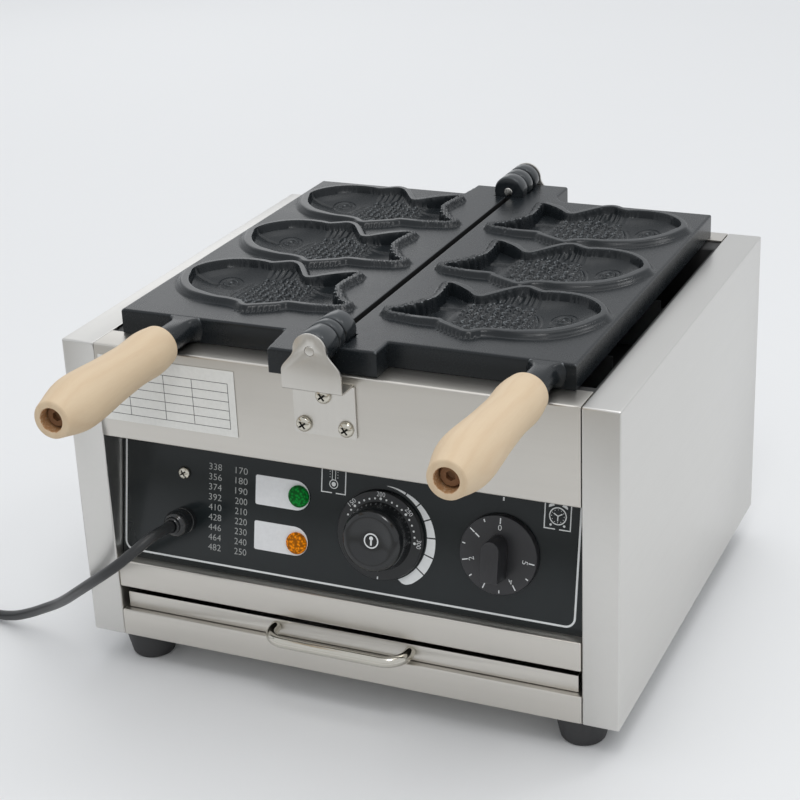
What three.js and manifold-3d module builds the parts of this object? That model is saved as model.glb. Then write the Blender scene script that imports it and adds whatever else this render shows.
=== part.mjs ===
import * as THREE from "three";
import { mergeVertices } from "three/addons/utils/BufferGeometryUtils.js";
import Module from "manifold-3d";

// A countertop taiyaki maker. A folded sheet steel cabinet stands on four rubber feet and carries
// two cast mould plates side by side on one hinge line that runs from front to back.
// Millimetres, +X to the operator's right, +Y to the back, +Z up. The pieces are placed from the
// cabinet's front face (y = 0), its middle (x = 0) and the lower edge of its sheets (z = 0). The
// whole is then moved so that the origin lies on the floor, below the middle of the object.

const wasm = await Module();
wasm.setup();

// Clearances between neighbouring pieces, and how far a cutting body reaches past its cut
const seat = 0.3;
const running = 0.3;
const threadGap = 0.3;
const overrun = 1;

// Cabinet sheets
const sheet = 1.5;
const cabinet = { width: 425, depth: 374, height: 242 };
const stile = { width: 27.2, back: 34 };
const topFlange = { front: 26.5, rear: 20.5 };
const frontPanel = { bottom: 168.4, lip: 26.5 };
const lowerRail = { bottom: 42.3, top: 65.2, depth: 20 };
const bottomRail = { top: 22.3, ledge: 20, foot: 60 };
const pan = { wall: 14 };
const foot = { topRadius: 22, bottomRadius: 16.5, height: 26, round: 3.5, inset: 35, setback: 27 };
const footStud = { radius: 3, length: 9 };

// Leaning control panel and what sits in it. Places on it are across from the middle and up along it.
const panel = { bottomY: 9, lean: 11, height: 112 };
const panelScrew = {
  across: -132.3,
  up: 72.2,
  headRadius: 4.6,
  headHeight: 2.4,
  shankRadius: 2,
  shankLength: 9,
};
const gland = { across: -131.5, up: 36, collarRadius: 10, collar: 15, noseRadius: 6.2, reach: 21 };
const glandThread = { radius: 7.7, length: 10, nutRadius: 10.8, nut: 4 };
const powerLamp = { across: -36.8, up: 68.2 };
const heatLamp = { across: -37.7, up: 32.6 };
const lamp = { radius: 8.2, height: 4.6, edge: 2.6, bodyRadius: 6, bodyLength: 20 };
const temperature = { across: 29.5, up: 49.8 };
const temperatureKnob = {
  skirtRadius: 34.5,
  skirt: 5,
  baseRadius: 25,
  rimRadius: 21.5,
  height: 21,
  dishRadius: 17.5,
};
const thermostat = { width: 48, height: 40, depth: 30 };
const timer = { across: 120.4, up: 50.5 };
const timerKnob = { skirtRadius: 28.9, skirt: 6.5, barWidth: 12.4, barLength: 28.5, height: 24 };
const timerCase = { width: 52, height: 48, depth: 34 };
const knob = { standOff: 0.6, bevel: 1.6, dish: 2.2 };
const shaft = { radius: 3, grip: 12 };
const bulb = { radius: 3, from: 118, across: -93 };
const capillary = { radius: 1.2, drop: 30, bend: 12 };
const label = { left: -182.1, right: -70.6, bottom: 183.3, top: 234, thickness: 0.4 };
const terminals = { length: 70, height: 24, depth: 20, front: 60, bottom: 120 };

// Hinge line, its knuckles and its brackets
const hinge = { height: 265.2, pinRadius: 3.5, knuckleRadius: 12.8, pocketGap: 0.5 };
const frontRow = { start: -17, outerLeft: 20, right: 9.8, innerLeft: 17, gap: 0.6 };
const rearInset = {
  knuckles: 14,
  mould: 12.7,
  leftTongue: -12.8,
  rightTongue: -28,
  neck: -2,
  well: 36,
  wellFlange: 14,
  heater: 74,
  support: 124,
  bulb: 112,
  tray: 34,
};
const sideInset = { mould: 38.5, well: 28, wellFlange: 7.5, support: 47.5, tray: 31.2 };
const rearRow = { start: cabinet.depth - rearInset.knuckles, innerRight: 14, left: 12.8, outerRight: 13, gap: 0.6, wideGap: 2.6 };
const bracket = { width: 47.5, bottom: 195.6, webTop: 236.5, reach: 19, tabHalf: 22.5, shoulder: 254 };
const bracketScrew = { headRadius: 5.5, headHeight: 2.6, shankRadius: 2.5, shankLength: 9 };
const bracketHoles = { highUp: 226, lowUp: 202.8, lowAcross: 16.2 };
const rearReach = 32.5;
const bulbEnd = cabinet.depth - rearInset.bulb;

// Mould plates, fish cavities and grips
const mould = {
  innerX: 1.5,
  outerX: cabinet.width / 2 - sideInset.mould,
  front: 24.3,
  rear: cabinet.depth - rearInset.mould,
  rim: 4.2,
};
const leftTongue = {
  front: -11,
  frontX: 36.5,
  rear: cabinet.depth - rearInset.leftTongue,
  rearX: 37.7,
  rootX: 40.6,
};
const rightTongue = {
  front: 3.3,
  frontX: 39,
  rear: cabinet.depth - rearInset.rightTongue,
  rearX: 38,
  rootX: 47,
  neckY: cabinet.depth - rearInset.neck,
};
const fishMargin = { front: 23.75, rear: 9.35, nose: 12, tail: 17, between: 8.3 };
const fishRows = 3;
const fishPitch = (mould.rear - mould.front - fishMargin.front - fishMargin.rear) / fishRows;
const fish = {
  tailX: fishMargin.tail,
  length: mould.outerX - fishMargin.nose - fishMargin.tail,
  width: fishPitch - fishMargin.between,
  middleY: mould.front + fishMargin.front + (fishPitch * fishRows) / 2,
  pitch: fishPitch,
  depth: 15,
  rimWidth: 3.5,
};
const boss = { radius: 9.4, height: 252.4, front: -13, root: 6, leftX: -121, rightX: 153 };
const grip = { length: 136.4, bore: 4.5, counterbore: 8.2, counterboreDepth: 12 };
const bolt = { radius: 4, headRadius: 7, head: 5, thread: 14 };

// Heat well and elements
const panelGap = 5.6294;
const well = {
  floor: 184,
  halfWidth: cabinet.width / 2 - sideInset.well,
  front: panel.bottomY + panel.height * Math.sin((panel.lean * Math.PI) / 180) + panelGap,
  rear: cabinet.depth - rearInset.well,
  holeGap: 1,
};
const wellFlange = {
  x: cabinet.width / 2 - sideInset.wellFlange,
  front: 12,
  rear: cabinet.depth - rearInset.wellFlange,
};
const heater = {
  radius: 4,
  height: 229,
  innerX: 40.5,
  pitch: 35,
  front: 75,
  rear: cabinet.depth - rearInset.heater,
  passes: 4,
  leg: 172,
  bend: 12,
};
const support = {
  halfLength: cabinet.width / 2 - sideInset.support,
  frontY: 130,
  rearY: cabinet.depth - rearInset.support,
  foot: 18,
};

// Drip tray, its handle and its runners
const tray = {
  halfWidth: cabinet.width / 2 - sideInset.tray,
  face: 5,
  rear: cabinet.depth - rearInset.tray,
  bottom: 22.9,
  top: 36,
  sheet: 1.2,
};
const trayHandle = { radius: 4.25, halfSpan: 54.25, height: 30, reach: 15, bend: 15.5 };
const trayScrew = { radius: 1.7, headRadius: 3.6, head: 2, bite: 7 };
const runnerGap = 2.7;
const runner = { outerX: tray.halfWidth + runnerGap, width: 19 };

// Mains cord: hand-chosen points of the stretch between the gland and the coil
const cord = { radius: 4, step: 12, sides: 10 };
const cordRoute = [
  [-134, -29, 106.5],
  [-142, -42, 99.5],
  [-152.5, -48.5, 90.5],
  [-165, -49, 80.7],
  [-182, -44, 67.3],
  [-201, -34, 51.8],
  [-221, -21, 35.3],
  [-241, -8, 20.1],
  [-261, 2, 7],
  [-281, 10, -5],
  [-301, 16, -14.5],
  [-321, 21, -20],
  [-345, 26, -21.8],
  [-370, 29.4, -21.2],
  [-390, 30, -20.5],
];
const coil = {
  centreX: -420,
  centreY: -20,
  radius: 50,
  loops: 4,
  pitch: 8.8,
  layerRise: 8.6,
  steps: 24,
  sides: 6,
};
const tie = { thickness: 1.2, width: 10, side: 0.8 };
const tailRoute = [
  [-452, 31, -12],
  [-470, 38, -10.8],
  [-482, 52, -9.4],
  [-486, 70, -8.6],
];
const plug = {
  x: -486,
  entryY: 98,
  sleeveRadius: 6.5,
  sleeve: 14,
  waistRadius: 12.5,
  body: 24,
  faceRadius: 17.5,
  face: 12,
};
const plugPin = { radius: 2.4, length: 19, root: 8, spacing: 19 };

// Facets round a full turn
const sides = { rod: 16, small: 10, knob: 28, knuckle: 20, foot: 16, grip: 18, heater: 8, thin: 6 };

// Rounded tops of screw heads and lamp lenses, as shares of their radius and height
const screwCrownShare = 0.72;
const lensShares = [[0.92, 0.78], [0.6, 0.95]];

// Outlines as shares. The fish runs from tail (0) to nose (1) and from belly (-0.5) to back (0.5).
const fishShares = [
  [1.0, 0.129], [0.979, 0.247], [0.931, 0.344], [0.862, 0.419],
  [0.779, 0.452], [0.69, 0.446], [0.641, 0.43], [0.593, 0.462],
  [0.545, 0.5], [0.503, 0.473], [0.462, 0.398], [0.421, 0.301],
  [0.372, 0.204], [0.338, 0.204], [0.276, 0.29], [0.214, 0.366],
  [0.145, 0.419], [0.148, 0.323], [0.159, 0.204], [0.159, 0.086],
  [0.134, 0.0], [0.11, -0.075], [0.076, -0.151], [0.034, -0.215],
  [0.0, -0.269], [0.062, -0.306], [0.172, -0.339], [0.297, -0.344],
  [0.331, -0.387], [0.379, -0.43], [0.434, -0.473], [0.476, -0.5],
  [0.524, -0.441], [0.593, -0.409], [0.676, -0.398], [0.759, -0.355],
  [0.834, -0.301], [0.897, -0.215], [0.945, -0.108], [0.979, 0.022],
];
// A grip's radius along its length, the free end last
const gripRadius = 19.3;
const gripShares = [
  [0, 0.785], [0.034, 0.815], [0.08, 0.855], [0.14, 0.875], [0.2, 0.855],
  [0.28, 0.83], [0.378, 0.85], [0.513, 0.895], [0.635, 0.96], [0.748, 1.0],
  [0.818, 0.975], [0.882, 0.885], [0.936, 0.785], [0.979, 0.71], [1, 0.67],
];

// Sizes that follow from the ones above
const halfWidth = cabinet.width / 2;
const stileInner = halfWidth - stile.width;
const railHalf = stileInner - seat;
const floorZ = -foot.height;
const rimTop = hinge.height - seat;
const plateTop = rimTop - mould.rim;
const plateBottom = cabinet.height + seat;
const lean = THREE.MathUtils.degToRad(panel.lean);
const gripFront = boss.front - seat;
const frontmost = gripFront - grip.length;
const rearmost = cabinet.depth + rearReach;

// Finishes
const finish = (color, roughness, metalness) =>
  new THREE.MeshStandardMaterial({ color, roughness, metalness });
const steel = finish(0xc9c6bf, 0.35, 0.9);
const innerSteel = finish(0x9fa4a8, 0.45, 0.85);
const blackPanel = finish(0x2b2e33, 0.25, 0.1);
const coating = finish(0x3a3d42, 0.55, 0.3);
const wood = finish(0xd9c49c, 0.6, 0);
const rubber = finish(0x1b1b1d, 0.8, 0);
const blackPlastic = finish(0x191a1c, 0.35, 0);
const chrome = finish(0xd8d8da, 0.12, 1);
const element = finish(0x55504a, 0.5, 0.8);
const greenLens = finish(0x1fa35a, 0.2, 0);
const orangeLens = finish(0xc9781e, 0.2, 0);
const paper = finish(0xeeeeea, 0.6, 0);
const ivory = finish(0xd9d2bd, 0.6, 0);

// Solids: three.js geometry to a manifold and back
function solidOf(geometry) {
  const loose = geometry.index ? geometry.toNonIndexed() : geometry;
  const bare = new THREE.BufferGeometry();
  bare.setAttribute("position", loose.getAttribute("position"));
  const merged = mergeVertices(bare);
  const mesh = new wasm.Mesh({
    numProp: 3,
    vertProperties: merged.getAttribute("position").array,
    triVerts: new Uint32Array(merged.index.array),
  });
  return new wasm.Manifold(mesh);
}

function geometryOf(solid) {
  const mesh = solid.getMesh();
  const indexed = new THREE.BufferGeometry();
  indexed.setAttribute("position", new THREE.BufferAttribute(mesh.vertProperties, 3));
  indexed.setIndex(new THREE.BufferAttribute(mesh.triVerts, 1));
  const geometry = indexed.toNonIndexed();
  geometry.computeVertexNormals();
  return geometry;
}

function join(...geometries) {
  const solids = geometries.map(solidOf);
  return geometryOf(solids.reduce((whole, next) => whole.add(next)));
}

function cut(geometry, ...cutters) {
  return geometryOf(cutters.map(solidOf).reduce((left, next) => left.subtract(next), solidOf(geometry)));
}

// Box from three [from, to] pairs
function box([x0, x1], [y0, y1], [z0, z1]) {
  const geometry = new THREE.BoxGeometry(x1 - x0, y1 - y0, z1 - z0);
  return geometry.translate((x0 + x1) / 2, (y0 + y1) / 2, (z0 + z1) / 2);
}

// Round bar between two points
function rod(radius, from, to, facets = sides.rod) {
  const start = new THREE.Vector3(...from);
  const end = new THREE.Vector3(...to);
  const along = end.clone().sub(start);
  const geometry = new THREE.CylinderGeometry(radius, radius, along.length(), facets);
  const turn = new THREE.Quaternion().setFromUnitVectors(new THREE.Vector3(0, 1, 0), along.normalize());
  geometry.applyQuaternion(turn);
  const middle = start.add(end).multiplyScalar(0.5);
  return geometry.translate(middle.x, middle.y, middle.z);
}

function extrude(outline, depth) {
  const shape = new THREE.Shape(outline.map(([u, v]) => new THREE.Vector2(u, v)));
  return new THREE.ExtrudeGeometry(shape, { depth, bevelEnabled: false });
}

// Outline in (x, y), carried up from bottom to top
function upright(outline, bottom, top) {
  return extrude(outline, top - bottom).translate(0, 0, bottom);
}

// Profile in (y, z), carried along X
function alongX(outline, from, to) {
  const geometry = extrude(outline, to - from);
  const basis = new THREE.Matrix4().makeBasis(
    new THREE.Vector3(0, 1, 0),
    new THREE.Vector3(0, 0, 1),
    new THREE.Vector3(1, 0, 0),
  );
  return geometry.applyMatrix4(basis).translate(from, 0, 0);
}

// Profile in (x, z), carried along Y
function alongY(outline, from, to) {
  const geometry = extrude(outline, to - from);
  return geometry.rotateX(Math.PI / 2).translate(0, to, 0);
}

// Body of revolution about +Z from (radius, height) points that start and end on the axis
function turned(profile, facets = sides.rod) {
  let area = 0;
  profile.forEach(([r0, z0], i) => {
    const [r1, z1] = profile[(i + 1) % profile.length];
    area += r0 * z1 - r1 * z0;
  });
  const ordered = area > 0 ? profile : [...profile].reverse();
  const points = ordered.map(([r, z]) => new THREE.Vector2(r, z));
  return new THREE.LatheGeometry(points, facets).rotateX(Math.PI / 2);
}

// Moves an outline sideways by a distance, to the left of its direction of travel
function offset(points, distance, closed) {
  const last = points.length - 1;
  const normal = (a, b) => new THREE.Vector2(a[1] - b[1], b[0] - a[0]).normalize();
  return points.map((point, i) => {
    const before = points[i === 0 ? last : i - 1];
    const after = points[i === last ? 0 : i + 1];
    const open = !closed;
    const first = open && i === 0 ? normal(point, after) : normal(before, point);
    const second = open && i === last ? normal(before, point) : normal(point, after);
    const mitre = first.clone().add(second).normalize();
    const reach = distance / Math.max(mitre.dot(first), Math.SQRT1_2);
    return [point[0] + mitre.x * reach, point[1] + mitre.y * reach];
  });
}

// Outline of a folded sheet from the corners of its outer face
const folded = (corners, thickness = sheet) => [...corners, ...offset(corners, thickness, false).reverse()];

// The same outline on the right (side 1) or mirrored to the left (side -1)
const handed = (outline, side) => (side > 0 ? outline : outline.map(([x, y]) => [-x, y]).reverse());

// Tube with one ring of points at each station, its end faces square to the end stretches
function sweep(stations, radius, facets) {
  const path = stations.map((p) => new THREE.Vector3(...p));
  const last = path.length - 1;
  const heading = (i) => path[Math.min(i + 1, last)].clone().sub(path[Math.max(i - 1, 0)]).normalize();
  let tangent = heading(0);
  const steep = Math.abs(tangent.z) > Math.SQRT1_2;
  const helper = steep ? new THREE.Vector3(1, 0, 0) : new THREE.Vector3(0, 0, 1);
  let side = new THREE.Vector3().crossVectors(helper, tangent).normalize();
  const positions = [];
  path.forEach((centre, i) => {
    const next = heading(i);
    side.applyQuaternion(new THREE.Quaternion().setFromUnitVectors(tangent, next));
    tangent = next;
    const up = new THREE.Vector3().crossVectors(tangent, side);
    for (let k = 0; k < facets; k += 1) {
      const angle = (2 * Math.PI * k) / facets;
      const point = centre.clone();
      point.addScaledVector(side, radius * Math.cos(angle));
      point.addScaledVector(up, radius * Math.sin(angle));
      positions.push(point.x, point.y, point.z);
    }
  });
  const index = [];
  for (let i = 0; i < last; i += 1) {
    for (let k = 0; k < facets; k += 1) {
      const a = i * facets + k;
      const b = i * facets + ((k + 1) % facets);
      index.push(a, b, b + facets, a, b + facets, a + facets);
    }
  }
  for (let k = 1; k < facets - 1; k += 1) {
    index.push(0, k + 1, k);
    index.push(last * facets, last * facets + k, last * facets + k + 1);
  }
  const geometry = new THREE.BufferGeometry();
  geometry.setAttribute("position", new THREE.Float32BufferAttribute(positions, 3));
  geometry.setIndex(index);
  geometry.computeVertexNormals();
  return geometry;
}

// Round cord through points, with rings at even steps
function freeCord(points) {
  const curve = new THREE.CatmullRomCurve3(points.map((p) => new THREE.Vector3(...p)));
  const section = new THREE.Shape();
  section.absarc(0, 0, cord.radius, 0, 2 * Math.PI);
  const steps = Math.round(curve.getLength() / cord.step);
  return new THREE.ExtrudeGeometry(section, {
    steps,
    curveSegments: cord.sides / 2,
    extrudePath: curve,
  });
}

function piece(name, geometry, material, position = [0, 0, 0]) {
  const mesh = new THREE.Mesh(geometry, material);
  mesh.name = name;
  mesh.position.set(...position);
  return mesh;
}

// A place on the control panel, in the cabinet's frame
function onPanel(across, up, out) {
  const y = panel.bottomY + up * Math.sin(lean) - out * Math.cos(lean);
  const z = lowerRail.top + up * Math.cos(lean) + out * Math.sin(lean);
  return [across, y, z];
}

// Cabinet sheets
function sidePanel(side) {
  const plan = folded([
    [stileInner, stile.back],
    [stileInner, 0],
    [halfWidth, 0],
    [halfWidth, cabinet.depth],
    [stileInner, cabinet.depth],
    [stileInner, cabinet.depth - stile.back],
  ]);
  const wall = upright(handed(plan, side), 0, cabinet.height);
  const span = side > 0 ? [stileInner, halfWidth] : [-halfWidth, -stileInner];
  const top = box(span, [0, cabinet.depth], [cabinet.height - sheet, cabinet.height]);
  const bottom = box(span, [0, cabinet.depth], [0, sheet]);
  return join(wall, top, bottom);
}

const screwHole = (x, z, y) =>
  rod(
    bracketScrew.shankRadius + running,
    [x, y - sheet - overrun, z],
    [x, y + sheet + overrun, z],
    sides.small,
  );

const bracketPlaces = [
  [0, bracketHoles.highUp],
  [-bracketHoles.lowAcross, bracketHoles.lowUp],
  [bracketHoles.lowAcross, bracketHoles.lowUp],
];

const bracketPlaceNames = ["high", "left", "right"];

function frontPanelSheet() {
  const profile = folded([
    [topFlange.front, cabinet.height],
    [0, cabinet.height],
    [0, frontPanel.bottom],
    [frontPanel.lip, frontPanel.bottom],
  ]);
  const body = alongX(profile, -railHalf, railHalf);
  return cut(body, ...bracketPlaces.map(([x, z]) => screwHole(x, z, 0)));
}

const studHole = (x, y) =>
  rod(footStud.radius + running, [x, y, -overrun], [x, y, sheet + overrun], sides.small);

const footX = halfWidth - foot.inset;

function rearPanelSheet() {
  const profile = folded([
    [cabinet.depth - bottomRail.foot, 0],
    [cabinet.depth, 0],
    [cabinet.depth, cabinet.height],
    [cabinet.depth - topFlange.rear, cabinet.height],
  ]);
  const body = alongX(profile, -railHalf, railHalf);
  const holes = bracketPlaces.map(([x, z]) => screwHole(x, z, cabinet.depth));
  const studs = [-footX, footX].map((x) => studHole(x, cabinet.depth - foot.setback));
  return cut(body, ...holes, ...studs);
}

function lowerFrontRail() {
  const profile = folded([
    [lowerRail.depth, lowerRail.top],
    [0, lowerRail.top],
    [0, lowerRail.bottom],
    [lowerRail.depth, lowerRail.bottom],
  ]);
  return alongX(profile, -railHalf, railHalf);
}

function bottomFrontRail() {
  const profile = folded([
    [bottomRail.ledge, bottomRail.top],
    [0, bottomRail.top],
    [0, 0],
    [bottomRail.foot, 0],
  ]);
  const body = alongX(profile, -railHalf, railHalf);
  return cut(body, ...[-footX, footX].map((x) => studHole(x, foot.setback)));
}

const panBottom = sheet + seat;

function basePan() {
  const half = halfWidth - sheet - seat;
  const profile = folded([
    [-half, panBottom + pan.wall],
    [-half, panBottom],
    [half, panBottom],
    [half, panBottom + pan.wall],
  ]);
  return alongY(profile, stile.back + seat, cabinet.depth - stile.back - seat);
}

function rubberFoot() {
  const edge = foot.bottomRadius - foot.round * (1 - Math.SQRT1_2);
  return turned(
    [
      [0, 0],
      [foot.bottomRadius - foot.round, 0],
      [edge, foot.round * (1 - Math.SQRT1_2)],
      [foot.bottomRadius, foot.round],
      [foot.topRadius, foot.height - seat],
      [footStud.radius, foot.height - seat],
      [footStud.radius, foot.height + footStud.length],
      [0, foot.height + footStud.length],
    ],
    sides.foot,
  );
}

function trayRunner(side) {
  const bottom = panBottom + sheet + seat;
  const profile = folded([
    [runner.outerX - runner.width, bottom],
    [runner.outerX, bottom],
    [runner.outerX, bottomRail.top],
    [runner.outerX - runner.width, bottomRail.top],
  ]);
  return alongY(handed(profile, side), stile.back + seat, cabinet.depth - stile.back - seat);
}

// Heat well, elements and their supports
const heaterX = (side, pass) => side * (heater.innerX + heater.pitch * pass);
const legY = heater.front - heater.bend;

function heaterRoute(side) {
  const turn = heater.pitch / 2;
  const bendSteps = 4;
  const turnSteps = 6;
  const route = [[heaterX(side, 0), legY, heater.leg]];
  for (let i = 0; i <= bendSteps; i += 1) {
    const angle = (Math.PI / 2) * (i / bendSteps);
    const y = heater.front - heater.bend * Math.cos(angle);
    route.push([heaterX(side, 0), y, heater.height - heater.bend * (1 - Math.sin(angle))]);
  }
  for (let pass = 0; pass < heater.passes - 1; pass += 1) {
    const atRear = pass % 2 === 0;
    const middleX = (heaterX(side, pass) + heaterX(side, pass + 1)) / 2;
    const centreY = atRear ? heater.rear - turn : heater.front + turn;
    for (let i = 0; i <= turnSteps; i += 1) {
      const angle = Math.PI * (i / turnSteps);
      const y = centreY + (atRear ? 1 : -1) * turn * Math.sin(angle);
      route.push([middleX - side * turn * Math.cos(angle), y, heater.height]);
    }
  }
  const lastX = heaterX(side, heater.passes - 1);
  for (let i = 0; i <= bendSteps; i += 1) {
    const angle = (Math.PI / 2) * (i / bendSteps);
    const y = heater.front - heater.bend * Math.sin(angle);
    route.push([lastX, y, heater.height - heater.bend * (1 - Math.cos(angle))]);
  }
  route.push([lastX, legY, heater.leg]);
  return route;
}

const capillaryY = bulb.from - capillary.drop;

function heatWell() {
  const flangeTop = cabinet.height - sheet - seat;
  const flangeBottom = flangeTop - sheet;
  const shell = box([-well.halfWidth, well.halfWidth], [well.front, well.rear], [well.floor, flangeTop]);
  const sideFlange = box([-wellFlange.x, wellFlange.x], [well.front, well.rear], [flangeBottom, flangeTop]);
  const endFlange = box(
    [-well.halfWidth, well.halfWidth],
    [wellFlange.front, wellFlange.rear],
    [flangeBottom, flangeTop],
  );
  const hollow = box(
    [-well.halfWidth + sheet, well.halfWidth - sheet],
    [well.front + sheet, well.rear - sheet],
    [well.floor + sheet, flangeTop + overrun],
  );
  const below = well.floor - overrun;
  const above = well.floor + sheet + overrun;
  const legHoles = [-1, 1].flatMap((side) =>
    [0, heater.passes - 1].map((pass) => {
      const x = heaterX(side, pass);
      return rod(heater.radius + well.holeGap, [x, legY, below], [x, legY, above]);
    }),
  );
  const capillaryHole = rod(
    capillary.radius + well.holeGap,
    [bulb.across, capillaryY, below],
    [bulb.across, capillaryY, above],
    sides.small,
  );
  return cut(join(shell, sideFlange, endFlange), hollow, ...legHoles, capillaryHole);
}

function heaterSupport(y) {
  const bottom = well.floor + sheet + seat;
  const top = heater.height - heater.radius - seat;
  const profile = folded([
    [y, top],
    [y, bottom],
    [y + support.foot, bottom],
  ]);
  return alongX(profile, -support.halfLength, support.halfLength);
}

function thermostatBulb() {
  const z = heater.height - heater.radius + bulb.radius;
  const body = rod(bulb.radius, [bulb.across, bulb.from, z], [bulb.across, bulbEnd, z], sides.small);
  const back = -sheet - seat - thermostat.depth - seat;
  const endAcross = temperature.across - thermostat.width / 4;
  const bend = capillary.bend;
  const tube = sweep(
    [
      [bulb.across, bulb.from + bend, z],
      [bulb.across, bulb.from - bend, z],
      [bulb.across, capillaryY + bend / 3, z - bend / 3],
      [bulb.across, capillaryY, z - bend],
      [bulb.across, capillaryY, well.floor - bend],
      [bulb.across + bend, capillaryY - bend / 2, well.floor - 2 * bend],
      onPanel(endAcross, temperature.up, back - 2 * bend),
      onPanel(endAcross, temperature.up, back - bend),
      onPanel(endAcross, temperature.up, back),
    ],
    capillary.radius,
    sides.thin,
  );
  return join(body, tube);
}

// Pivot brackets, pins and screws
function pivotBracket(direction) {
  const face = direction > 0 ? cabinet.depth : 0;
  const at = (distance) => face + direction * distance;
  const span = (near, far) => [Math.min(at(near), at(far)), Math.max(at(near), at(far))];
  const reach = direction > 0 ? rearReach : bracket.reach;
  const half = bracket.width / 2;
  const flange = box([-half, half], span(seat, seat + sheet), [bracket.bottom, bracket.webTop]);
  const web = box(
    [-bracket.tabHalf, bracket.tabHalf],
    span(seat, reach),
    [bracket.webTop - sheet, bracket.webTop],
  );
  const top = hinge.height + hinge.knuckleRadius - seat;
  const crown = hinge.knuckleRadius - seat;
  const bell = [
    [-bracket.tabHalf, bracket.webTop - sheet],
    [bracket.tabHalf, bracket.webTop - sheet],
    [bracket.tabHalf, bracket.shoulder - crown / 2],
  ];
  const steps = 5;
  for (let i = 0; i <= steps; i += 1) {
    const share = i / steps;
    const x = bracket.tabHalf + (crown - bracket.tabHalf) * THREE.MathUtils.smoothstep(share, 0, 1);
    bell.push([x, bracket.shoulder + (hinge.height - bracket.shoulder) * share]);
  }
  const arcSteps = 10;
  for (let i = 1; i < arcSteps; i += 1) {
    const angle = (Math.PI * i) / arcSteps;
    bell.push([crown * Math.cos(angle), hinge.height + (top - hinge.height) * Math.sin(angle)]);
  }
  const rightHalf = bell.slice(2, 3 + steps + 1);
  bell.push(...rightHalf.reverse().map(([x, z]) => [-x, z]));
  const [tabFrom, tabTo] = span(reach - sheet, reach);
  const tab = alongY(bell, tabFrom, tabTo);
  const bore = rod(
    hinge.pinRadius + running,
    [0, tabFrom - overrun, hinge.height],
    [0, tabTo + overrun, hinge.height],
  );
  const middle = (at(seat) + at(seat + sheet)) / 2;
  return cut(join(flange, web, tab), bore, ...bracketPlaces.map(([x, z]) => screwHole(x, z, middle)));
}

// Pan-head screw, its head towards +Z and the sheet's face at zero
function panHeadScrew({ headRadius, headHeight, shankRadius, shankLength }) {
  return turned(
    [
      [0, -shankLength],
      [shankRadius, -shankLength],
      [shankRadius, seat],
      [headRadius, seat],
      [headRadius, seat + headHeight / 2],
      [headRadius * screwCrownShare, seat + headHeight],
      [0, seat + headHeight],
    ],
    sides.small,
  );
}

// Hinge knuckles, front to back: where each starts and ends, and whose it is
const knuckles = [];
let place = frontRow.start;
for (const [owner, length] of [[-1, frontRow.outerLeft], [1, frontRow.right], [-1, frontRow.innerLeft]]) {
  knuckles.push({ owner, from: place, to: place + length });
  place += length + frontRow.gap;
}
const frontPinEnd = place - frontRow.gap;
place = rearRow.start;
for (const [owner, length, gap] of [
  [1, rearRow.innerRight, rearRow.gap],
  [-1, rearRow.left, rearRow.wideGap],
  [1, rearRow.outerRight, rearRow.gap],
]) {
  knuckles.push({ owner, from: place, to: place + length });
  place += length + gap;
}

// Mould plates
function fishOutline(side, row) {
  const outline = fishShares.map(([along, across]) => [
    fish.tailX + fish.length * along,
    fish.middleY + fish.pitch * row + fish.width * across,
  ]);
  return handed(outline, side);
}

function plateOutline(side) {
  if (side < 0) {
    return handed(
      [
        [mould.innerX, leftTongue.front],
        [leftTongue.frontX, leftTongue.front],
        [leftTongue.rootX, mould.front],
        [mould.outerX, mould.front],
        [mould.outerX, mould.rear],
        [leftTongue.rootX, mould.rear],
        [leftTongue.rearX, leftTongue.rear],
        [mould.innerX, leftTongue.rear],
      ],
      side,
    );
  }
  return [
    [mould.innerX, rightTongue.front],
    [rightTongue.frontX, rightTongue.front],
    [rightTongue.frontX, mould.front],
    [mould.outerX, mould.front],
    [mould.outerX, mould.rear],
    [rightTongue.rootX, mould.rear],
    [rightTongue.rearX, rightTongue.neckY],
    [rightTongue.rearX, rightTongue.rear],
    [mould.innerX, rightTongue.rear],
  ];
}

const hingeRod = (radius, from, to) =>
  rod(radius, [0, from, hinge.height], [0, to, hinge.height], sides.knuckle);

function mouldPlate(side) {
  const bossX = side > 0 ? boss.rightX : boss.leftX;
  const own = knuckles.filter(({ owner }) => owner === side);
  const others = knuckles.filter(({ owner }) => owner !== side);
  const rows = [-1, 0, 1].map((row) => fishOutline(side, row));
  const slab = upright(plateOutline(side), plateBottom, plateTop);
  const pocketRadius = hinge.knuckleRadius + hinge.pocketGap;
  const pockets = others.map(({ from, to }) => hingeRod(pocketRadius, from - running, to + running));
  const pocketed = cut(slab, ...pockets);
  const rims = rows.map((outline) =>
    upright(offset(outline, -fish.rimWidth, true), plateTop - overrun, rimTop),
  );
  const bossRod = rod(
    boss.radius,
    [bossX, boss.front, boss.height],
    [bossX, mould.front + boss.root, boss.height],
    sides.knuckle,
  );
  const ownKnuckles = own.map(({ from, to }) => hingeRod(hinge.knuckleRadius, from, to));
  const blank = join(pocketed, ...rims, bossRod, ...ownKnuckles);
  const cavities = rows.map((outline) => upright(outline, rimTop - fish.depth, rimTop + overrun));
  const bores = own.map(({ from, to }) =>
    rod(
      hinge.pinRadius + running,
      [0, from - overrun, hinge.height],
      [0, to + overrun, hinge.height],
    ),
  );
  const thread = rod(
    bolt.radius + threadGap,
    [bossX, boss.front - overrun, boss.height],
    [bossX, boss.front + bolt.thread + overrun, boss.height],
    sides.small,
  );
  return cut(blank, ...cavities, ...bores, thread);
}

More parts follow.
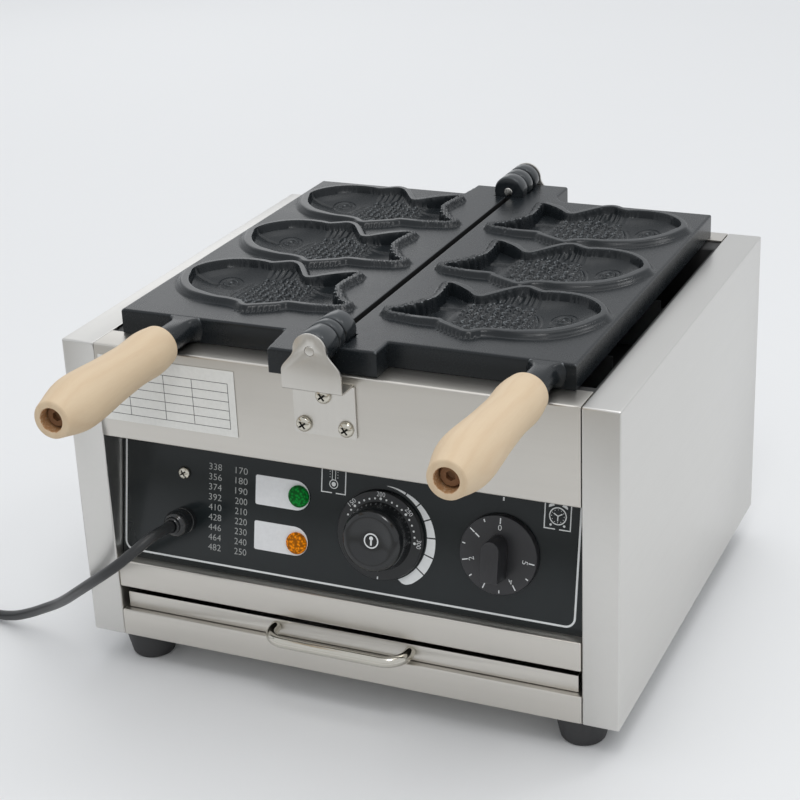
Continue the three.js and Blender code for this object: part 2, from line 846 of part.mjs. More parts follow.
// Turned wooden grip, its free end at +Z
function woodenGrip() {
  const outside = gripShares.map(([along, share]) => [gripRadius * share, grip.length * along]);
  const shoulder = grip.length - grip.counterboreDepth;
  return cut(
    turned([[0, 0], ...outside, [0, grip.length]], sides.grip),
    rod(grip.bore, [0, 0, -overrun], [0, 0, grip.length], sides.small),
    rod(grip.counterbore, [0, 0, shoulder], [0, 0, grip.length + overrun]),
  );
}

function handleBolt() {
  const headFoot = grip.length - grip.counterboreDepth + seat;
  return turned([
    [0, -seat - bolt.thread],
    [bolt.radius, -seat - bolt.thread],
    [bolt.radius, headFoot],
    [bolt.headRadius, headFoot],
    [bolt.headRadius, headFoot + bolt.head],
    [0, headFoot + bolt.head],
  ]);
}

// Drip tray and its handle
function dripTray() {
  const shell = box([-tray.halfWidth, tray.halfWidth], [tray.face, tray.rear], [tray.bottom, tray.top]);
  const inside = box(
    [-tray.halfWidth + tray.sheet, tray.halfWidth - tray.sheet],
    [tray.face + tray.sheet, tray.rear - tray.sheet],
    [tray.bottom + tray.sheet, tray.top + overrun],
  );
  const holes = [-1, 1].map((side) => {
    const x = side * trayHandle.halfSpan;
    const z = trayHandle.height;
    const hole = trayScrew.radius + running;
    return rod(hole, [x, tray.face - overrun, z], [x, tray.face + tray.sheet + overrun, z], sides.small);
  });
  return cut(shell, inside, ...holes);
}

function wireHandle() {
  const steps = 5;
  const start = tray.face - seat;
  const inner = trayHandle.halfSpan - trayHandle.bend;
  const bendY = -trayHandle.reach + trayHandle.bend;
  const half = [[trayHandle.halfSpan, start]];
  for (let i = 0; i <= steps; i += 1) {
    const angle = (Math.PI / 2) * (i / steps);
    half.push([inner + trayHandle.bend * Math.cos(angle), bendY - trayHandle.bend * Math.sin(angle)]);
  }
  const other = half.map(([x, y]) => [-x, y]).reverse();
  const stations = [...half, ...other].map(([x, y]) => [x, y, trayHandle.height]);
  const bar = sweep(stations, trayHandle.radius, sides.small);
  const holes = [-1, 1].map((side) => {
    const x = side * trayHandle.halfSpan;
    const z = trayHandle.height;
    const hole = trayScrew.radius + threadGap;
    return rod(hole, [x, start - trayScrew.bite - threadGap, z], [x, start + overrun, z], sides.thin);
  });
  return cut(bar, ...holes);
}

function handleScrew() {
  const length = tray.sheet + 2 * seat + trayScrew.bite;
  return turned(
    [
      [0, -length],
      [trayScrew.radius, -length],
      [trayScrew.radius, 0],
      [trayScrew.headRadius, 0],
      [trayScrew.headRadius, trayScrew.head],
      [0, trayScrew.head],
    ],
    sides.thin,
  );
}

// Control panel and its fittings. In the panel's own frame x is across, -y is outward and z is up.
const panelRod = (radius, { across, up }, facets = sides.rod) =>
  rod(radius, [across, -overrun, up], [across, sheet + overrun, up], facets);

function controlPanel() {
  const bottom = seat + sheet * Math.tan(lean);
  const body = box([-railHalf, railHalf], [0, sheet], [bottom, panel.height]);
  return cut(
    body,
    panelRod(glandThread.radius + running, gland),
    panelRod(lamp.bodyRadius + running, powerLamp),
    panelRod(lamp.bodyRadius + running, heatLamp),
    panelRod(shaft.radius + running, temperature, sides.small),
    panelRod(shaft.radius + running, timer, sides.small),
    panelRod(panelScrew.shankRadius + running, panelScrew, sides.small),
  );
}

function cordGland() {
  return turned([
    [0, -sheet - glandThread.length],
    [glandThread.radius, -sheet - glandThread.length],
    [glandThread.radius, seat],
    [gland.collarRadius, seat],
    [gland.collarRadius, gland.collar],
    [gland.noseRadius + (gland.collarRadius - gland.noseRadius) / 3, gland.collar + gland.collar / 3],
    [gland.noseRadius, gland.reach],
    [0, gland.reach],
  ]);
}

function glandNut() {
  const near = -sheet - seat;
  const bore = glandThread.radius + threadGap;
  const blank = rod(glandThread.nutRadius, [0, 0, near - glandThread.nut], [0, 0, near], sides.thin);
  return cut(blank, rod(bore, [0, 0, near - glandThread.nut - overrun], [0, 0, near + overrun]));
}

function indicatorLamp() {
  return turned([
    [0, -lamp.bodyLength],
    [lamp.bodyRadius, -lamp.bodyLength],
    [lamp.bodyRadius, seat],
    [lamp.radius, seat],
    [lamp.radius, lamp.edge],
    ...lensShares.map(([across, up]) => [lamp.radius * across, lamp.height * up]),
    [0, lamp.height],
  ]);
}

const knobShaft = (depth) =>
  rod(shaft.radius, [0, 0, -sheet - seat - depth], [0, 0, shaft.grip], sides.small);

function temperatureDial() {
  const { skirtRadius, skirt, baseRadius, rimRadius, height, dishRadius } = temperatureKnob;
  const bore = shaft.radius + running;
  return turned(
    [
      [0, shaft.grip + seat],
      [bore, shaft.grip + seat],
      [bore, knob.standOff],
      [skirtRadius, knob.standOff],
      [skirtRadius, skirt - knob.bevel],
      [skirtRadius - knob.bevel, skirt],
      [baseRadius, skirt],
      [rimRadius, height - knob.standOff],
      [(rimRadius + dishRadius) / 2, height],
      [dishRadius, height - knob.bevel],
      [0, height - knob.dish],
    ],
    sides.knob,
  );
}

function timerDial() {
  const { skirtRadius, skirt, barWidth, barLength, height } = timerKnob;
  const disc = turned(
    [
      [0, knob.standOff],
      [skirtRadius, knob.standOff],
      [skirtRadius, skirt - knob.bevel],
      [skirtRadius - knob.bevel, skirt],
      [0, skirt],
    ],
    sides.knob,
  );
  const half = barLength / 2;
  const nose = barWidth / 2;
  const outline = [];
  const steps = 6;
  for (let i = 0; i <= steps; i += 1) {
    const angle = (Math.PI * i) / steps;
    outline.push([nose * Math.cos(angle), half - nose + nose * Math.sin(angle)]);
  }
  outline.push([-nose, -half], [nose, -half]);
  const bar = upright(outline, skirt - overrun, height);
  const bore = rod(shaft.radius + running, [0, 0, 0], [0, 0, shaft.grip + seat], sides.small);
  return cut(join(disc, bar), bore);
}

function bodyBehindPanel({ width, height, depth }, at) {
  const near = sheet + seat;
  const blank = box(
    [at.across - width / 2, at.across + width / 2],
    [near, near + depth],
    [at.up - height / 2, at.up + height / 2],
  );
  const bore = rod(
    shaft.radius + running,
    [at.across, near - overrun, at.up],
    [at.across, near + depth / 2 + running, at.up],
    sides.small,
  );
  return cut(blank, bore);
}

// Mains cord
function cordFreeRoute() {
  const start = gland.reach + seat;
  const diameter = 2 * cord.radius;
  const leads = [0, diameter / 2, diameter].map((out) => onPanel(gland.across, gland.up, start + out));
  const end = [coil.centreX + diameter + seat, coil.centreY + coil.radius, coilLow];
  const tail = [2 * cord.radius, cord.radius, 0].map((back) => [end[0] + back, end[1], end[2]]);
  return [...leads, ...cordRoute, ...tail];
}

const coilLow = floorZ + tie.thickness + seat + cord.radius;
const coilHigh = coilLow + coil.layerRise;

function coilRoute() {
  const total = 2 * Math.PI * coil.loops;
  const count = coil.loops * coil.steps;
  const lead = 2 * cord.radius;
  const route = [[coil.centreX + lead, coil.centreY + coil.radius, coilLow]];
  for (let i = 0; i <= count; i += 1) {
    const angle = (total * i) / count;
    const inward = (coil.pitch * Math.min(angle, total - angle)) / (2 * Math.PI);
    const radius = coil.radius - inward;
    const climb = THREE.MathUtils.smoothstep(angle, (total - Math.PI) / 2, (total + Math.PI) / 2);
    route.push([
      coil.centreX - radius * Math.sin(angle),
      coil.centreY + radius * Math.cos(angle),
      coilLow + coil.layerRise * climb,
    ]);
  }
  route.push([coil.centreX - lead, coil.centreY + coil.radius, coilHigh]);
  return route;
}

// Least gap between stretches of the coil that lie more than a quarter loop apart
function coilGap(route) {
  const apart = coil.steps / 4;
  const fine = route.map((p) => new THREE.Vector3(...p));
  let least = Infinity;
  for (let i = 0; i < fine.length - 1; i += 1) {
    for (let j = i + apart; j < fine.length - 1; j += 1) {
      const segment = new THREE.Line3(fine[j], fine[j + 1]);
      const nearest = segment.closestPointToPoint(fine[i], true, new THREE.Vector3());
      least = Math.min(least, nearest.distanceTo(fine[i]) - 2 * cord.radius);
    }
  }
  return least;
}

function cordTie() {
  const turnBack = coil.pitch / 2;
  const outer = coil.radius - turnBack + cord.radius + tie.side;
  const inner = coil.radius - turnBack - coil.pitch * (coil.loops / 2 - 1) - cord.radius - tie.side;
  const loop = (grow, half) =>
    box(
      [coil.centreX - half, coil.centreX + half],
      [coil.centreY - outer - grow, coil.centreY - inner + grow],
      [coilLow - cord.radius - seat - grow, coilHigh + cord.radius + seat + grow],
    );
  return cut(loop(tie.thickness, tie.width / 2), loop(0, tie.width / 2 + overrun));
}

const plugAxisZ = floorZ + plug.faceRadius;

function tailFreeRoute() {
  const diameter = 2 * cord.radius;
  const startX = coil.centreX - diameter - seat;
  const y = coil.centreY + coil.radius;
  const leads = [0, diameter / 2, diameter].map((out) => [startX - out, y, coilHigh]);
  const ends = [diameter, diameter / 2, 0].map((back) => [plug.x, plug.entryY - seat - back, plugAxisZ]);
  return [...leads, ...tailRoute, ...ends];
}

// Plug with its moulded-in pins towards +Z and the cord's entry at zero
function plugBody() {
  const waist = plug.sleeve + plug.body;
  const length = waist + plug.face;
  const blank = turned([
    [0, 0],
    [plug.sleeveRadius, 0],
    [plug.sleeveRadius, plug.sleeve],
    [plug.waistRadius, plug.sleeve + plug.sleeve / 2],
    [plug.waistRadius, waist],
    [plug.faceRadius, waist + plug.face / 4],
    [plug.faceRadius, length],
    [0, length],
  ]);
  const pins = [-1, 1].map((side) => {
    const x = (side * plugPin.spacing) / 2;
    return rod(plugPin.radius, [x, 0, length - plugPin.root], [x, 0, length + plugPin.length], sides.small);
  });
  return join(blank, ...pins);
}

// Assembly
const object = new THREE.Group();
const cabinetFrame = new THREE.Group();
cabinetFrame.position.set(0, -(frontmost + rearmost) / 2, foot.height);
object.add(cabinetFrame);

cabinetFrame.add(piece("left_side_panel", sidePanel(-1), steel));
cabinetFrame.add(piece("right_side_panel", sidePanel(1), steel));
cabinetFrame.add(piece("front_panel", frontPanelSheet(), steel));
cabinetFrame.add(piece("rear_panel", rearPanelSheet(), steel));
cabinetFrame.add(piece("lower_front_rail", lowerFrontRail(), steel));
cabinetFrame.add(piece("bottom_front_rail", bottomFrontRail(), steel));
cabinetFrame.add(piece("base_pan", basePan(), innerSteel));
cabinetFrame.add(piece("tray_runner_left", trayRunner(-1), innerSteel));
cabinetFrame.add(piece("tray_runner_right", trayRunner(1), innerSteel));
cabinetFrame.add(piece("heat_well", heatWell(), innerSteel));

const labelBox = box(
  [label.left, label.right],
  [-seat - label.thickness, -seat],
  [label.bottom, label.top],
);
cabinetFrame.add(piece("rating_label", labelBox, paper));

const terminalX = -halfWidth + sheet + seat;
const terminalBox = box(
  [terminalX, terminalX + terminals.depth],
  [terminals.front, terminals.front + terminals.length],
  [terminals.bottom, terminals.bottom + terminals.height],
);
cabinetFrame.add(piece("terminal_block", terminalBox, ivory));

const footPlaces = {
  foot_front_left: [-footX, foot.setback],
  foot_front_right: [footX, foot.setback],
  foot_rear_left: [-footX, cabinet.depth - foot.setback],
  foot_rear_right: [footX, cabinet.depth - foot.setback],
};
for (const [name, [x, y]] of Object.entries(footPlaces)) {
  cabinetFrame.add(piece(name, rubberFoot(), rubber, [x, y, floorZ]));
}

cabinetFrame.add(piece("left_heater", sweep(heaterRoute(-1), heater.radius, sides.heater), element));
cabinetFrame.add(piece("right_heater", sweep(heaterRoute(1), heater.radius, sides.heater), element));
cabinetFrame.add(piece("heater_support_front", heaterSupport(support.frontY), innerSteel));
cabinetFrame.add(piece("heater_support_rear", heaterSupport(support.rearY), innerSteel));
cabinetFrame.add(piece("thermostat_bulb", thermostatBulb(), chrome));

// Brackets, their screws and the hinge pins
for (const [end, direction] of [["front", -1], ["rear", 1]]) {
  cabinetFrame.add(piece(`${end}_pivot_bracket`, pivotBracket(direction), steel));
  const face = direction > 0 ? cabinet.depth : 0;
  bracketPlaces.forEach(([x, z], i) => {
    const y = face + direction * (seat + sheet);
    const name = `${end}_bracket_screw_${bracketPlaceNames[i]}`;
    const screw = piece(name, panHeadScrew(bracketScrew), chrome, [x, y, z]);
    screw.rotation.x = (-direction * Math.PI) / 2;
    cabinetFrame.add(screw);
  });
}
const pin = (from, to) => rod(hinge.pinRadius, [0, from, hinge.height], [0, to, hinge.height]);
cabinetFrame.add(piece("front_hinge_pin", pin(-bracket.reach, frontPinEnd), chrome));
cabinetFrame.add(piece("rear_hinge_pin", pin(rearRow.start, cabinet.depth + rearReach), chrome));

// Mould plates with their grips
for (const [hand, side] of [["left", -1], ["right", 1]]) {
  const half = new THREE.Group();
  const bossX = side > 0 ? boss.rightX : boss.leftX;
  half.add(piece(`${hand}_mould_plate`, mouldPlate(side), coating));
  const handle = new THREE.Group();
  handle.position.set(bossX, gripFront, boss.height);
  handle.rotation.x = Math.PI / 2;
  handle.add(piece(`${hand}_grip`, woodenGrip(), wood));
  handle.add(piece(`${hand}_handle_bolt`, handleBolt(), chrome));
  half.add(handle);
  cabinetFrame.add(half);
}

// Drip tray
const trayGroup = new THREE.Group();
trayGroup.add(piece("drip_tray", dripTray(), steel));
trayGroup.add(piece("tray_handle", wireHandle(), chrome));
for (const [hand, side] of [["left", -1], ["right", 1]]) {
  const y = tray.face + tray.sheet + seat;
  const screw = piece(`tray_handle_screw_${hand}`, handleScrew(), chrome, [
    side * trayHandle.halfSpan,
    y,
    trayHandle.height,
  ]);
  screw.rotation.x = -Math.PI / 2;
  trayGroup.add(screw);
}
cabinetFrame.add(trayGroup);

// Control panel and its fittings
const panelFrame = new THREE.Group();
panelFrame.position.set(0, panel.bottomY, lowerRail.top);
panelFrame.rotation.x = -lean;
cabinetFrame.add(panelFrame);

// A turned fitting whose axis points out of the panel
function fitting(name, geometry, material, { across, up }) {
  const mesh = piece(name, geometry, material, [across, 0, up]);
  mesh.rotation.x = Math.PI / 2;
  return mesh;
}

panelFrame.add(piece("control_panel", controlPanel(), blackPanel));
panelFrame.add(fitting("cord_gland", cordGland(), blackPlastic, gland));
panelFrame.add(fitting("gland_nut", glandNut(), blackPlastic, gland));
panelFrame.add(fitting("power_lamp", indicatorLamp(), greenLens, powerLamp));
panelFrame.add(fitting("heat_lamp", indicatorLamp(), orangeLens, heatLamp));
panelFrame.add(fitting("temperature_knob", temperatureDial(), blackPlastic, temperature));
panelFrame.add(fitting("temperature_shaft", knobShaft(thermostat.depth / 2), chrome, temperature));
panelFrame.add(fitting("timer_knob", timerDial(), blackPlastic, timer));
panelFrame.add(fitting("timer_shaft", knobShaft(timerCase.depth / 2), chrome, timer));
panelFrame.add(piece("thermostat_body", bodyBehindPanel(thermostat, temperature), ivory));
panelFrame.add(piece("timer_body", bodyBehindPanel(timerCase, timer), ivory));
panelFrame.add(fitting("control_panel_screw", panHeadScrew(panelScrew), chrome, panelScrew));

// Mains cord, coil, tie and plug
const coilStations = coilRoute();
console.log(`least gap between the coil's turns: ${coilGap(coilStations).toFixed(2)} mm`);
cabinetFrame.add(piece("power_cord", freeCord(cordFreeRoute()), rubber));
cabinetFrame.add(piece("cord_coil", sweep(coilStations, cord.radius, coil.sides), rubber));
cabinetFrame.add(piece("cord_tie", cordTie(), blackPlastic));
cabinetFrame.add(piece("cord_tail", freeCord(tailFreeRoute()), rubber));
const plugGroup = new THREE.Group();
plugGroup.position.set(plug.x, plug.entryY, plugAxisZ);
plugGroup.rotation.x = -Math.PI / 2;
plugGroup.add(piece("mains_plug", plugBody(), rubber));
cabinetFrame.add(plugGroup);

export default object;
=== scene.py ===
"""Looks of a countertop taiyaki maker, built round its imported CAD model.

Pieces are shaped in millimetres in the cabinet's own frame (x across, y to the back from the front
face, z up from the lower edge of the sheets), as in the part's source, and are then set down in
metres in the row frame.
"""

import logging
import math
from collections import Counter
from collections.abc import Iterator, Sequence
from contextlib import contextmanager
from dataclasses import dataclass
from enum import Enum

import bmesh
import bpy
import numpy as np
from mathutils import Matrix, Vector


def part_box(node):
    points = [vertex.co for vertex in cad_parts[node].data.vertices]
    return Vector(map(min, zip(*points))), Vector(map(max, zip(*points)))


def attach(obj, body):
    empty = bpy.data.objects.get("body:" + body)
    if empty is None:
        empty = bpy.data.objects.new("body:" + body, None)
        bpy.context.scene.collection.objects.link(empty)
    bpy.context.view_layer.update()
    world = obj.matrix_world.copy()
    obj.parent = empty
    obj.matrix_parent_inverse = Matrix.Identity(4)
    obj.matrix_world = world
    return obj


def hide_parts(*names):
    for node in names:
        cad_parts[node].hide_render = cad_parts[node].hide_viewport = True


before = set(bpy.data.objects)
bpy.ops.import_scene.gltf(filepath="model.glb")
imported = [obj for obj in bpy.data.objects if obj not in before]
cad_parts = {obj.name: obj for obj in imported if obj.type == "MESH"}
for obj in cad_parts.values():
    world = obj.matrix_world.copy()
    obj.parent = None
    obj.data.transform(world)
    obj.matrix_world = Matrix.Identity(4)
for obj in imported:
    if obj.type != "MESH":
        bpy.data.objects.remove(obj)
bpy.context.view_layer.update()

LOG = logging.getLogger("taiyaki_maker")

Piece = bpy.types.Object
Material = bpy.types.Material
Point = Sequence[float]
Pair = tuple[float, float]
Triple = tuple[float, float, float]
Outline = list[Pair]

# The cabinet's frame to the row frame, and back
METRES = Matrix.Scale(0.001, 4) @ Matrix.Translation((0.0, -128.4, 26.0))
MILLIMETRES = METRES.inverted()

# The z axis laid to the front or to the back
TO_FRONT = Matrix.Rotation(math.pi / 2, 4, "X")
TO_BACK = Matrix.Rotation(-math.pi / 2, 4, "X")

# The leaning control panel: across, up along it and out of it
PANEL_LEAN = Matrix.Rotation(-math.radians(11.0), 4, "X")
PANEL_FRAME = Matrix.Translation((0.0, 9.0, 65.2)) @ PANEL_LEAN @ TO_FRONT

# How much the strokes of the printed digits are thinned, as a share of the type size
DIGIT_THINNING = -0.011


class Hand(Enum):
    """Which half of the machine a piece belongs to."""

    LEFT = -1
    RIGHT = 1

    @property
    def word(self) -> str:
        """The half's name, as in the names of the CAD nodes."""
        return self.name.lower()


class Grain(Enum):
    """Which way the brushed grain of a sheet runs, as how much each axis squeezes the pattern."""

    ACROSS = (0.012, 1.0, 1.0)
    BACKWARD = (1.0, 0.012, 1.0)
    UPRIGHT = (1.0, 1.0, 0.012)


class Value:
    """A socket of a shader, whose Python operators add Math nodes."""

    def __init__(self, graph: "Graph", socket: bpy.types.NodeSocket) -> None:
        """Wraps a socket of a graph."""
        self.graph = graph
        self.socket = socket

    def _math(self, operation: str, *terms: "Value | float") -> "Value":
        """A Math node on the given terms."""
        return self.graph.node("ShaderNodeMath", {"operation": operation}, dict(enumerate(terms)))

    def __add__(self, other: "Value | float") -> "Value":
        """Sum."""
        return self._math("ADD", self, other)

    __radd__ = __add__

    def __sub__(self, other: "Value | float") -> "Value":
        """Difference."""
        return self._math("SUBTRACT", self, other)

    def __rsub__(self, other: "Value | float") -> "Value":
        """Reflected difference."""
        return self._math("SUBTRACT", other, self)

    def __mul__(self, other: "Value | float") -> "Value":
        """Product."""
        return self._math("MULTIPLY", self, other)

    __rmul__ = __mul__

    def __pow__(self, other: "Value | float") -> "Value":
        """Power."""
        return self._math("POWER", self, other)

    def sine(self) -> "Value":
        """Sine of the value."""
        return self._math("SINE", self)

    def clamped(self) -> "Value":
        """The value kept between zero and one."""
        return self.graph.node("ShaderNodeClamp", {}, {0: self})


class Graph:
    """The node tree of one material."""

    def __init__(self, name: str) -> None:
        """Starts an empty material."""
        self.material = bpy.data.materials.new(name)
        self.material.use_nodes = True
        self.tree = self.material.node_tree
        self.tree.nodes.clear()

    def node(
        self, kind: str, settings: dict | None = None, inputs: dict | None = None,
        output: int | str = 0,
    ) -> Value | None:
        """Adds a node.

        Args:
            kind: The node's type.
            settings: Its properties.
            inputs: Its sockets, by index or name, each a value or a linked Value.
            output: Which output to return.

        Returns:
            The chosen output, if the node has any.
        """
        made = self.tree.nodes.new(kind)
        for key, value in (settings or {}).items():
            setattr(made, key, value)
        for key, value in (inputs or {}).items():
            socket = made.inputs[key]
            if isinstance(value, Value):
                self.tree.links.new(value.socket, socket)
            else:
                socket.default_value = value
        return Value(self, made.outputs[output]) if len(made.outputs) else None

    def place(self) -> Value:
        """Where a point of the surface is, in metres."""
        return self.node("ShaderNodeTexCoord", output="Object")

    def stretched(self, vector: Value, by: Point) -> Value:
        """A vector with each axis scaled."""
        return self.node("ShaderNodeVectorMath", {"operation": "MULTIPLY"}, {0: vector, 1: by})

    def noise(self, vector: Value, scale: float, detail: float = 3.0, rough: float = 0.5) -> Value:
        """Soft noise from 0 to 1."""
        inputs = {"Vector": vector, "Scale": scale, "Detail": detail, "Roughness": rough}
        return self.node("ShaderNodeTexNoise", {}, inputs)

    def mixed(self, factor: Value | float, first: Value | Point, second: Value | Point) -> Value:
        """A colour between two."""
        ends = [c if isinstance(c, Value) else (*c, 1.0) for c in (first, second)]
        inputs = {0: factor, 6: ends[0], 7: ends[1]}
        return self.node("ShaderNodeMix", {"data_type": "RGBA"}, inputs, 2)

    def bump(self, height: Value, distance: float, strength: float = 1.0) -> Value:
        """A normal that follows a height, given in metres at full height."""
        inputs = {"Strength": strength, "Distance": distance, "Height": height}
        return self.node("ShaderNodeBump", {}, inputs)

    def surface(self, **sockets: Value | float | Point) -> Material:
        """Ends the graph with a Principled surface; underscores in names stand for spaces."""
        inputs = {}
        for key, value in sockets.items():
            flat = not isinstance(value, (Value, float, int))
            inputs[key.replace("_", " ")] = (*value, 1.0) if flat else value
        shader = self.node("ShaderNodeBsdfPrincipled", {}, inputs)
        self.node("ShaderNodeOutputMaterial", {}, {"Surface": shader})
        return self.material


@dataclass(frozen=True)
class Finish:
    """A surface finish, built once as a material and shared by its pieces."""

    name: str
    colour: Triple
    roughness: float

    def material(self) -> Material:
        """The finish's material, its name kept apart from the CAD's own flat materials."""
        name = f"looks_{self.name}"
        return bpy.data.materials.get(name) or self.build(Graph(name))

    def build(self, graph: Graph) -> Material:
        """Builds the material's nodes."""
        raise NotImplementedError


@dataclass(frozen=True)
class SatinSheet(Finish):
    """Stainless sheet with a fine brushed grain and faint handling marks."""

    grain: Grain = Grain.ACROSS
    depth: float = 0.000012
    smudge: float = 0.07

    def build(self, graph: Graph) -> Material:
        """Grain lines, broad smudges and a slight change of shade."""
        place = graph.place()
        along = graph.stretched(place, self.grain.value)
        lines = graph.noise(along, 1400.0, 2.0, 0.6)
        bands = graph.noise(along, 260.0, 2.0)
        marks = graph.noise(place, 9.0, 4.0, 0.6)
        spots = graph.noise(place, 60.0, 3.0)
        darker = tuple(c * 0.9 for c in self.colour)
        shade = (0.5 * marks + 0.3 * bands + 0.2 * lines).clamped()
        rough = self.roughness + self.smudge * (marks - 0.5)
        rough = rough + 0.1 * (lines - 0.5) + 0.04 * (spots - 0.5)
        return graph.surface(
            Base_Color=graph.mixed(shade, darker, self.colour),
            Metallic=1.0,
            Roughness=rough,
            Normal=graph.bump(lines, self.depth),
        )


@dataclass(frozen=True)
class BrightMetal(Finish):
    """Plated or polished metal with hairline wear."""

    wear: float = 0.08

    def build(self, graph: Graph) -> Material:
        """A polish that dulls in patches."""
        place = graph.place()
        patches = graph.noise(place, 45.0, 5.0, 0.65)
        hair = graph.noise(graph.stretched(place, (1.0, 0.08, 0.6)), 900.0, 2.0)
        rough = self.roughness + self.wear * (patches - 0.4) + 0.03 * hair
        darker = tuple(c * 0.86 for c in self.colour)
        return graph.surface(
            Base_Color=graph.mixed(patches, darker, self.colour),
            Metallic=1.0,
            Roughness=rough,
            Normal=graph.bump(hair, 0.000006),
        )


@dataclass(frozen=True)
class CastCoating(Finish):
    """Dark non-stick coating over a sand-cast plate, paler on upward-facing sharp edges: partly
    rubbed wear, partly a painted highlight.

    The gap is the square of half the slot between the plates, and the crest is the height of their
    flat tops, in metres. Inside the slot, below the crest, the colour is painted near black as
    shade.
    """

    # Pale colour of the rubbed edges, which also paints a highlight on the upward-facing crests
    rubbed: Triple = (0.19, 0.205, 0.215)
    # Near-black painted shade in the slot between the plates
    burnt: Triple = (0.006, 0.006, 0.006)
    gap: float = 0.0032**2
    crest: float = 0.2864

    def build(self, graph: Graph) -> Material:
        """Cast grain under the coating, oil-polished and dusty areas, rubbed edges with a painted
        highlight, and painted shade in the slot between the plates.
        """
        place = graph.place()
        grain = graph.noise(place, 900.0, 4.0, 0.65)
        swell = graph.noise(place, 120.0, 3.0, 0.5)
        stain = graph.noise(place, 14.0, 5.0, 0.6)
        worn = tuple(min(1.0, c * 1.5) for c in self.colour)
        height = 0.55 * grain + 0.45 * swell
        rough = self.roughness + 0.16 * (stain - 0.5) + 0.1 * (grain - 0.5)
        sharp = graph.node("ShaderNodeNewGeometry", output="Pointiness")
        facing = graph.node("ShaderNodeTexCoord", output="Normal")
        upward = graph.node("ShaderNodeSeparateXYZ", {}, {0: facing}, 2)
        # Sharp crests that face upward turn paler: partly rubbed wear, partly a painted highlight
        rubbed = ((sharp - 0.535) * 18.0).clamped() * (upward * 2.0 - 0.2).clamped()
        coated = graph.mixed(rubbed, graph.mixed(stain, self.colour, worn), self.rubbed)
        across = graph.node("ShaderNodeSeparateXYZ", {}, {0: place})
        up = graph.node("ShaderNodeSeparateXYZ", {}, {0: place}, 2)
        # Painted shade: inside the slot and below the flat tops the coating turns near black and
        # rough
        in_gap = (self.gap - across * across) * 1e7
        burnt = in_gap.clamped() * ((self.crest - up) * 5000.0).clamped()
        handled = ((up - self.crest) * 900.0 - 3.0).clamped()
        return graph.surface(
            Base_Color=graph.mixed(burnt, coated, self.burnt),
            Metallic=0.0,
            Roughness=rough - 0.14 * handled + 0.4 * burnt,
            Specular_IOR_Level=0.34,
            Normal=graph.bump(height, 0.00012, 0.8),
        )


@dataclass(frozen=True)
class GlossPanel(Finish):
    """Screen-printed panel film, glossy with a fine orange-peel."""

    def build(self, graph: Graph) -> Material:
        """A near mirror with soft dust and peel."""
        place = graph.place()
        peel = graph.noise(place, 420.0, 2.0)
        dust = graph.noise(place, 25.0, 6.0, 0.7)
        dusty = tuple(c * 1.4 + 0.001 for c in self.colour)
        return graph.surface(
            Base_Color=graph.mixed(dust, self.colour, dusty),
            Roughness=self.roughness + 0.1 * (dust - 0.4),
            Specular_IOR_Level=0.34,
            Normal=graph.bump(peel, 0.00001),
        )


@dataclass(frozen=True)
class Moulded(Finish):
    """Moulded plastic or rubber with a fine texture."""

    texture: float = 0.00003
    scale: float = 1100.0
    coat: float = 0.0

    def build(self, graph: Graph) -> Material:
        """Fine spark-eroded texture and slight flow shading."""
        place = graph.place()
        grain = graph.noise(place, self.scale, 2.0, 0.6)
        flow = graph.noise(place, 40.0, 3.0)
        lighter = tuple(c * 1.35 + 0.002 for c in self.colour)
        return graph.surface(
            Base_Color=graph.mixed(flow, self.colour, lighter),
            Roughness=self.roughness + 0.12 * (flow - 0.5) + 0.08 * (grain - 0.5),
            Coat_Weight=self.coat,
            Coat_Roughness=0.12,
            Normal=graph.bump(grain, self.texture),
        )


@dataclass(frozen=True)
class TurnedWood(Finish):
    """Pale turned wood, its fibre along the grip (the y axis).

    The middle is the tree's heart and the axis the grip's own, as (x, z). Inside the hole's
    radius the wood is painted a darker brown, as shade in the bore. All are in metres.
    """

    dark: Triple = (0.5, 0.31, 0.16)
    # Darker brown painted inside the hole, as shade in the bore
    stain: Triple = (0.44, 0.235, 0.105)
    middle: Pair = (0.0, 0.0)
    axis: Pair = (0.0, 0.0)
    hole: float = 0.0086

    def build(self, graph: Graph) -> Material:
        """Growth rings cut by the turning, fine pores and a sanded sheen."""
        centre = (-self.middle[0], 0.0, -self.middle[1])
        place = graph.place()
        local = graph.node("ShaderNodeVectorMath", {"operation": "ADD"}, {0: place, 1: centre})
        warp = graph.noise(graph.stretched(local, (1.0, 0.16, 1.0)), 38.0, 3.0, 0.55)
        across = graph.node("ShaderNodeSeparateXYZ", {}, {0: local})
        rings = ((across * 620.0 + warp * 15.0).sine() * 0.5 + 0.5) ** 2.0
        pores = graph.noise(graph.stretched(local, (1.0, 0.05, 1.0)), 900.0, 3.0, 0.65)
        broad = graph.noise(graph.stretched(local, (1.0, 0.3, 1.0)), 30.0, 2.0)
        tone = (0.3 * rings + 0.42 * pores + 0.28 * broad - 0.12).clamped()
        bare = graph.mixed(tone * 0.42, self.colour, self.dark)
        axis = graph.node("ShaderNodeCombineXYZ", {}, {0: self.axis[0], 2: self.axis[1]})
        flat = graph.stretched(place, (1.0, 0.0, 1.0))
        away = graph.node("ShaderNodeVectorMath", {"operation": "DISTANCE"}, {0: flat, 1: axis}, 1)
        frayed = away + 0.0016 * (graph.noise(place, 700.0, 3.0, 0.7) - 0.5)
        # Painted shade: within the hole's radius of the grip's axis the wood turns darker brown
        inside = ((self.hole - frayed) * 3000.0).clamped()
        return graph.surface(
            Base_Color=graph.mixed(inside, bare, self.stain),
            Roughness=self.roughness + 0.15 * (pores - 0.5),
            Normal=graph.bump(pores + 0.4 * rings, 0.00006),
        )


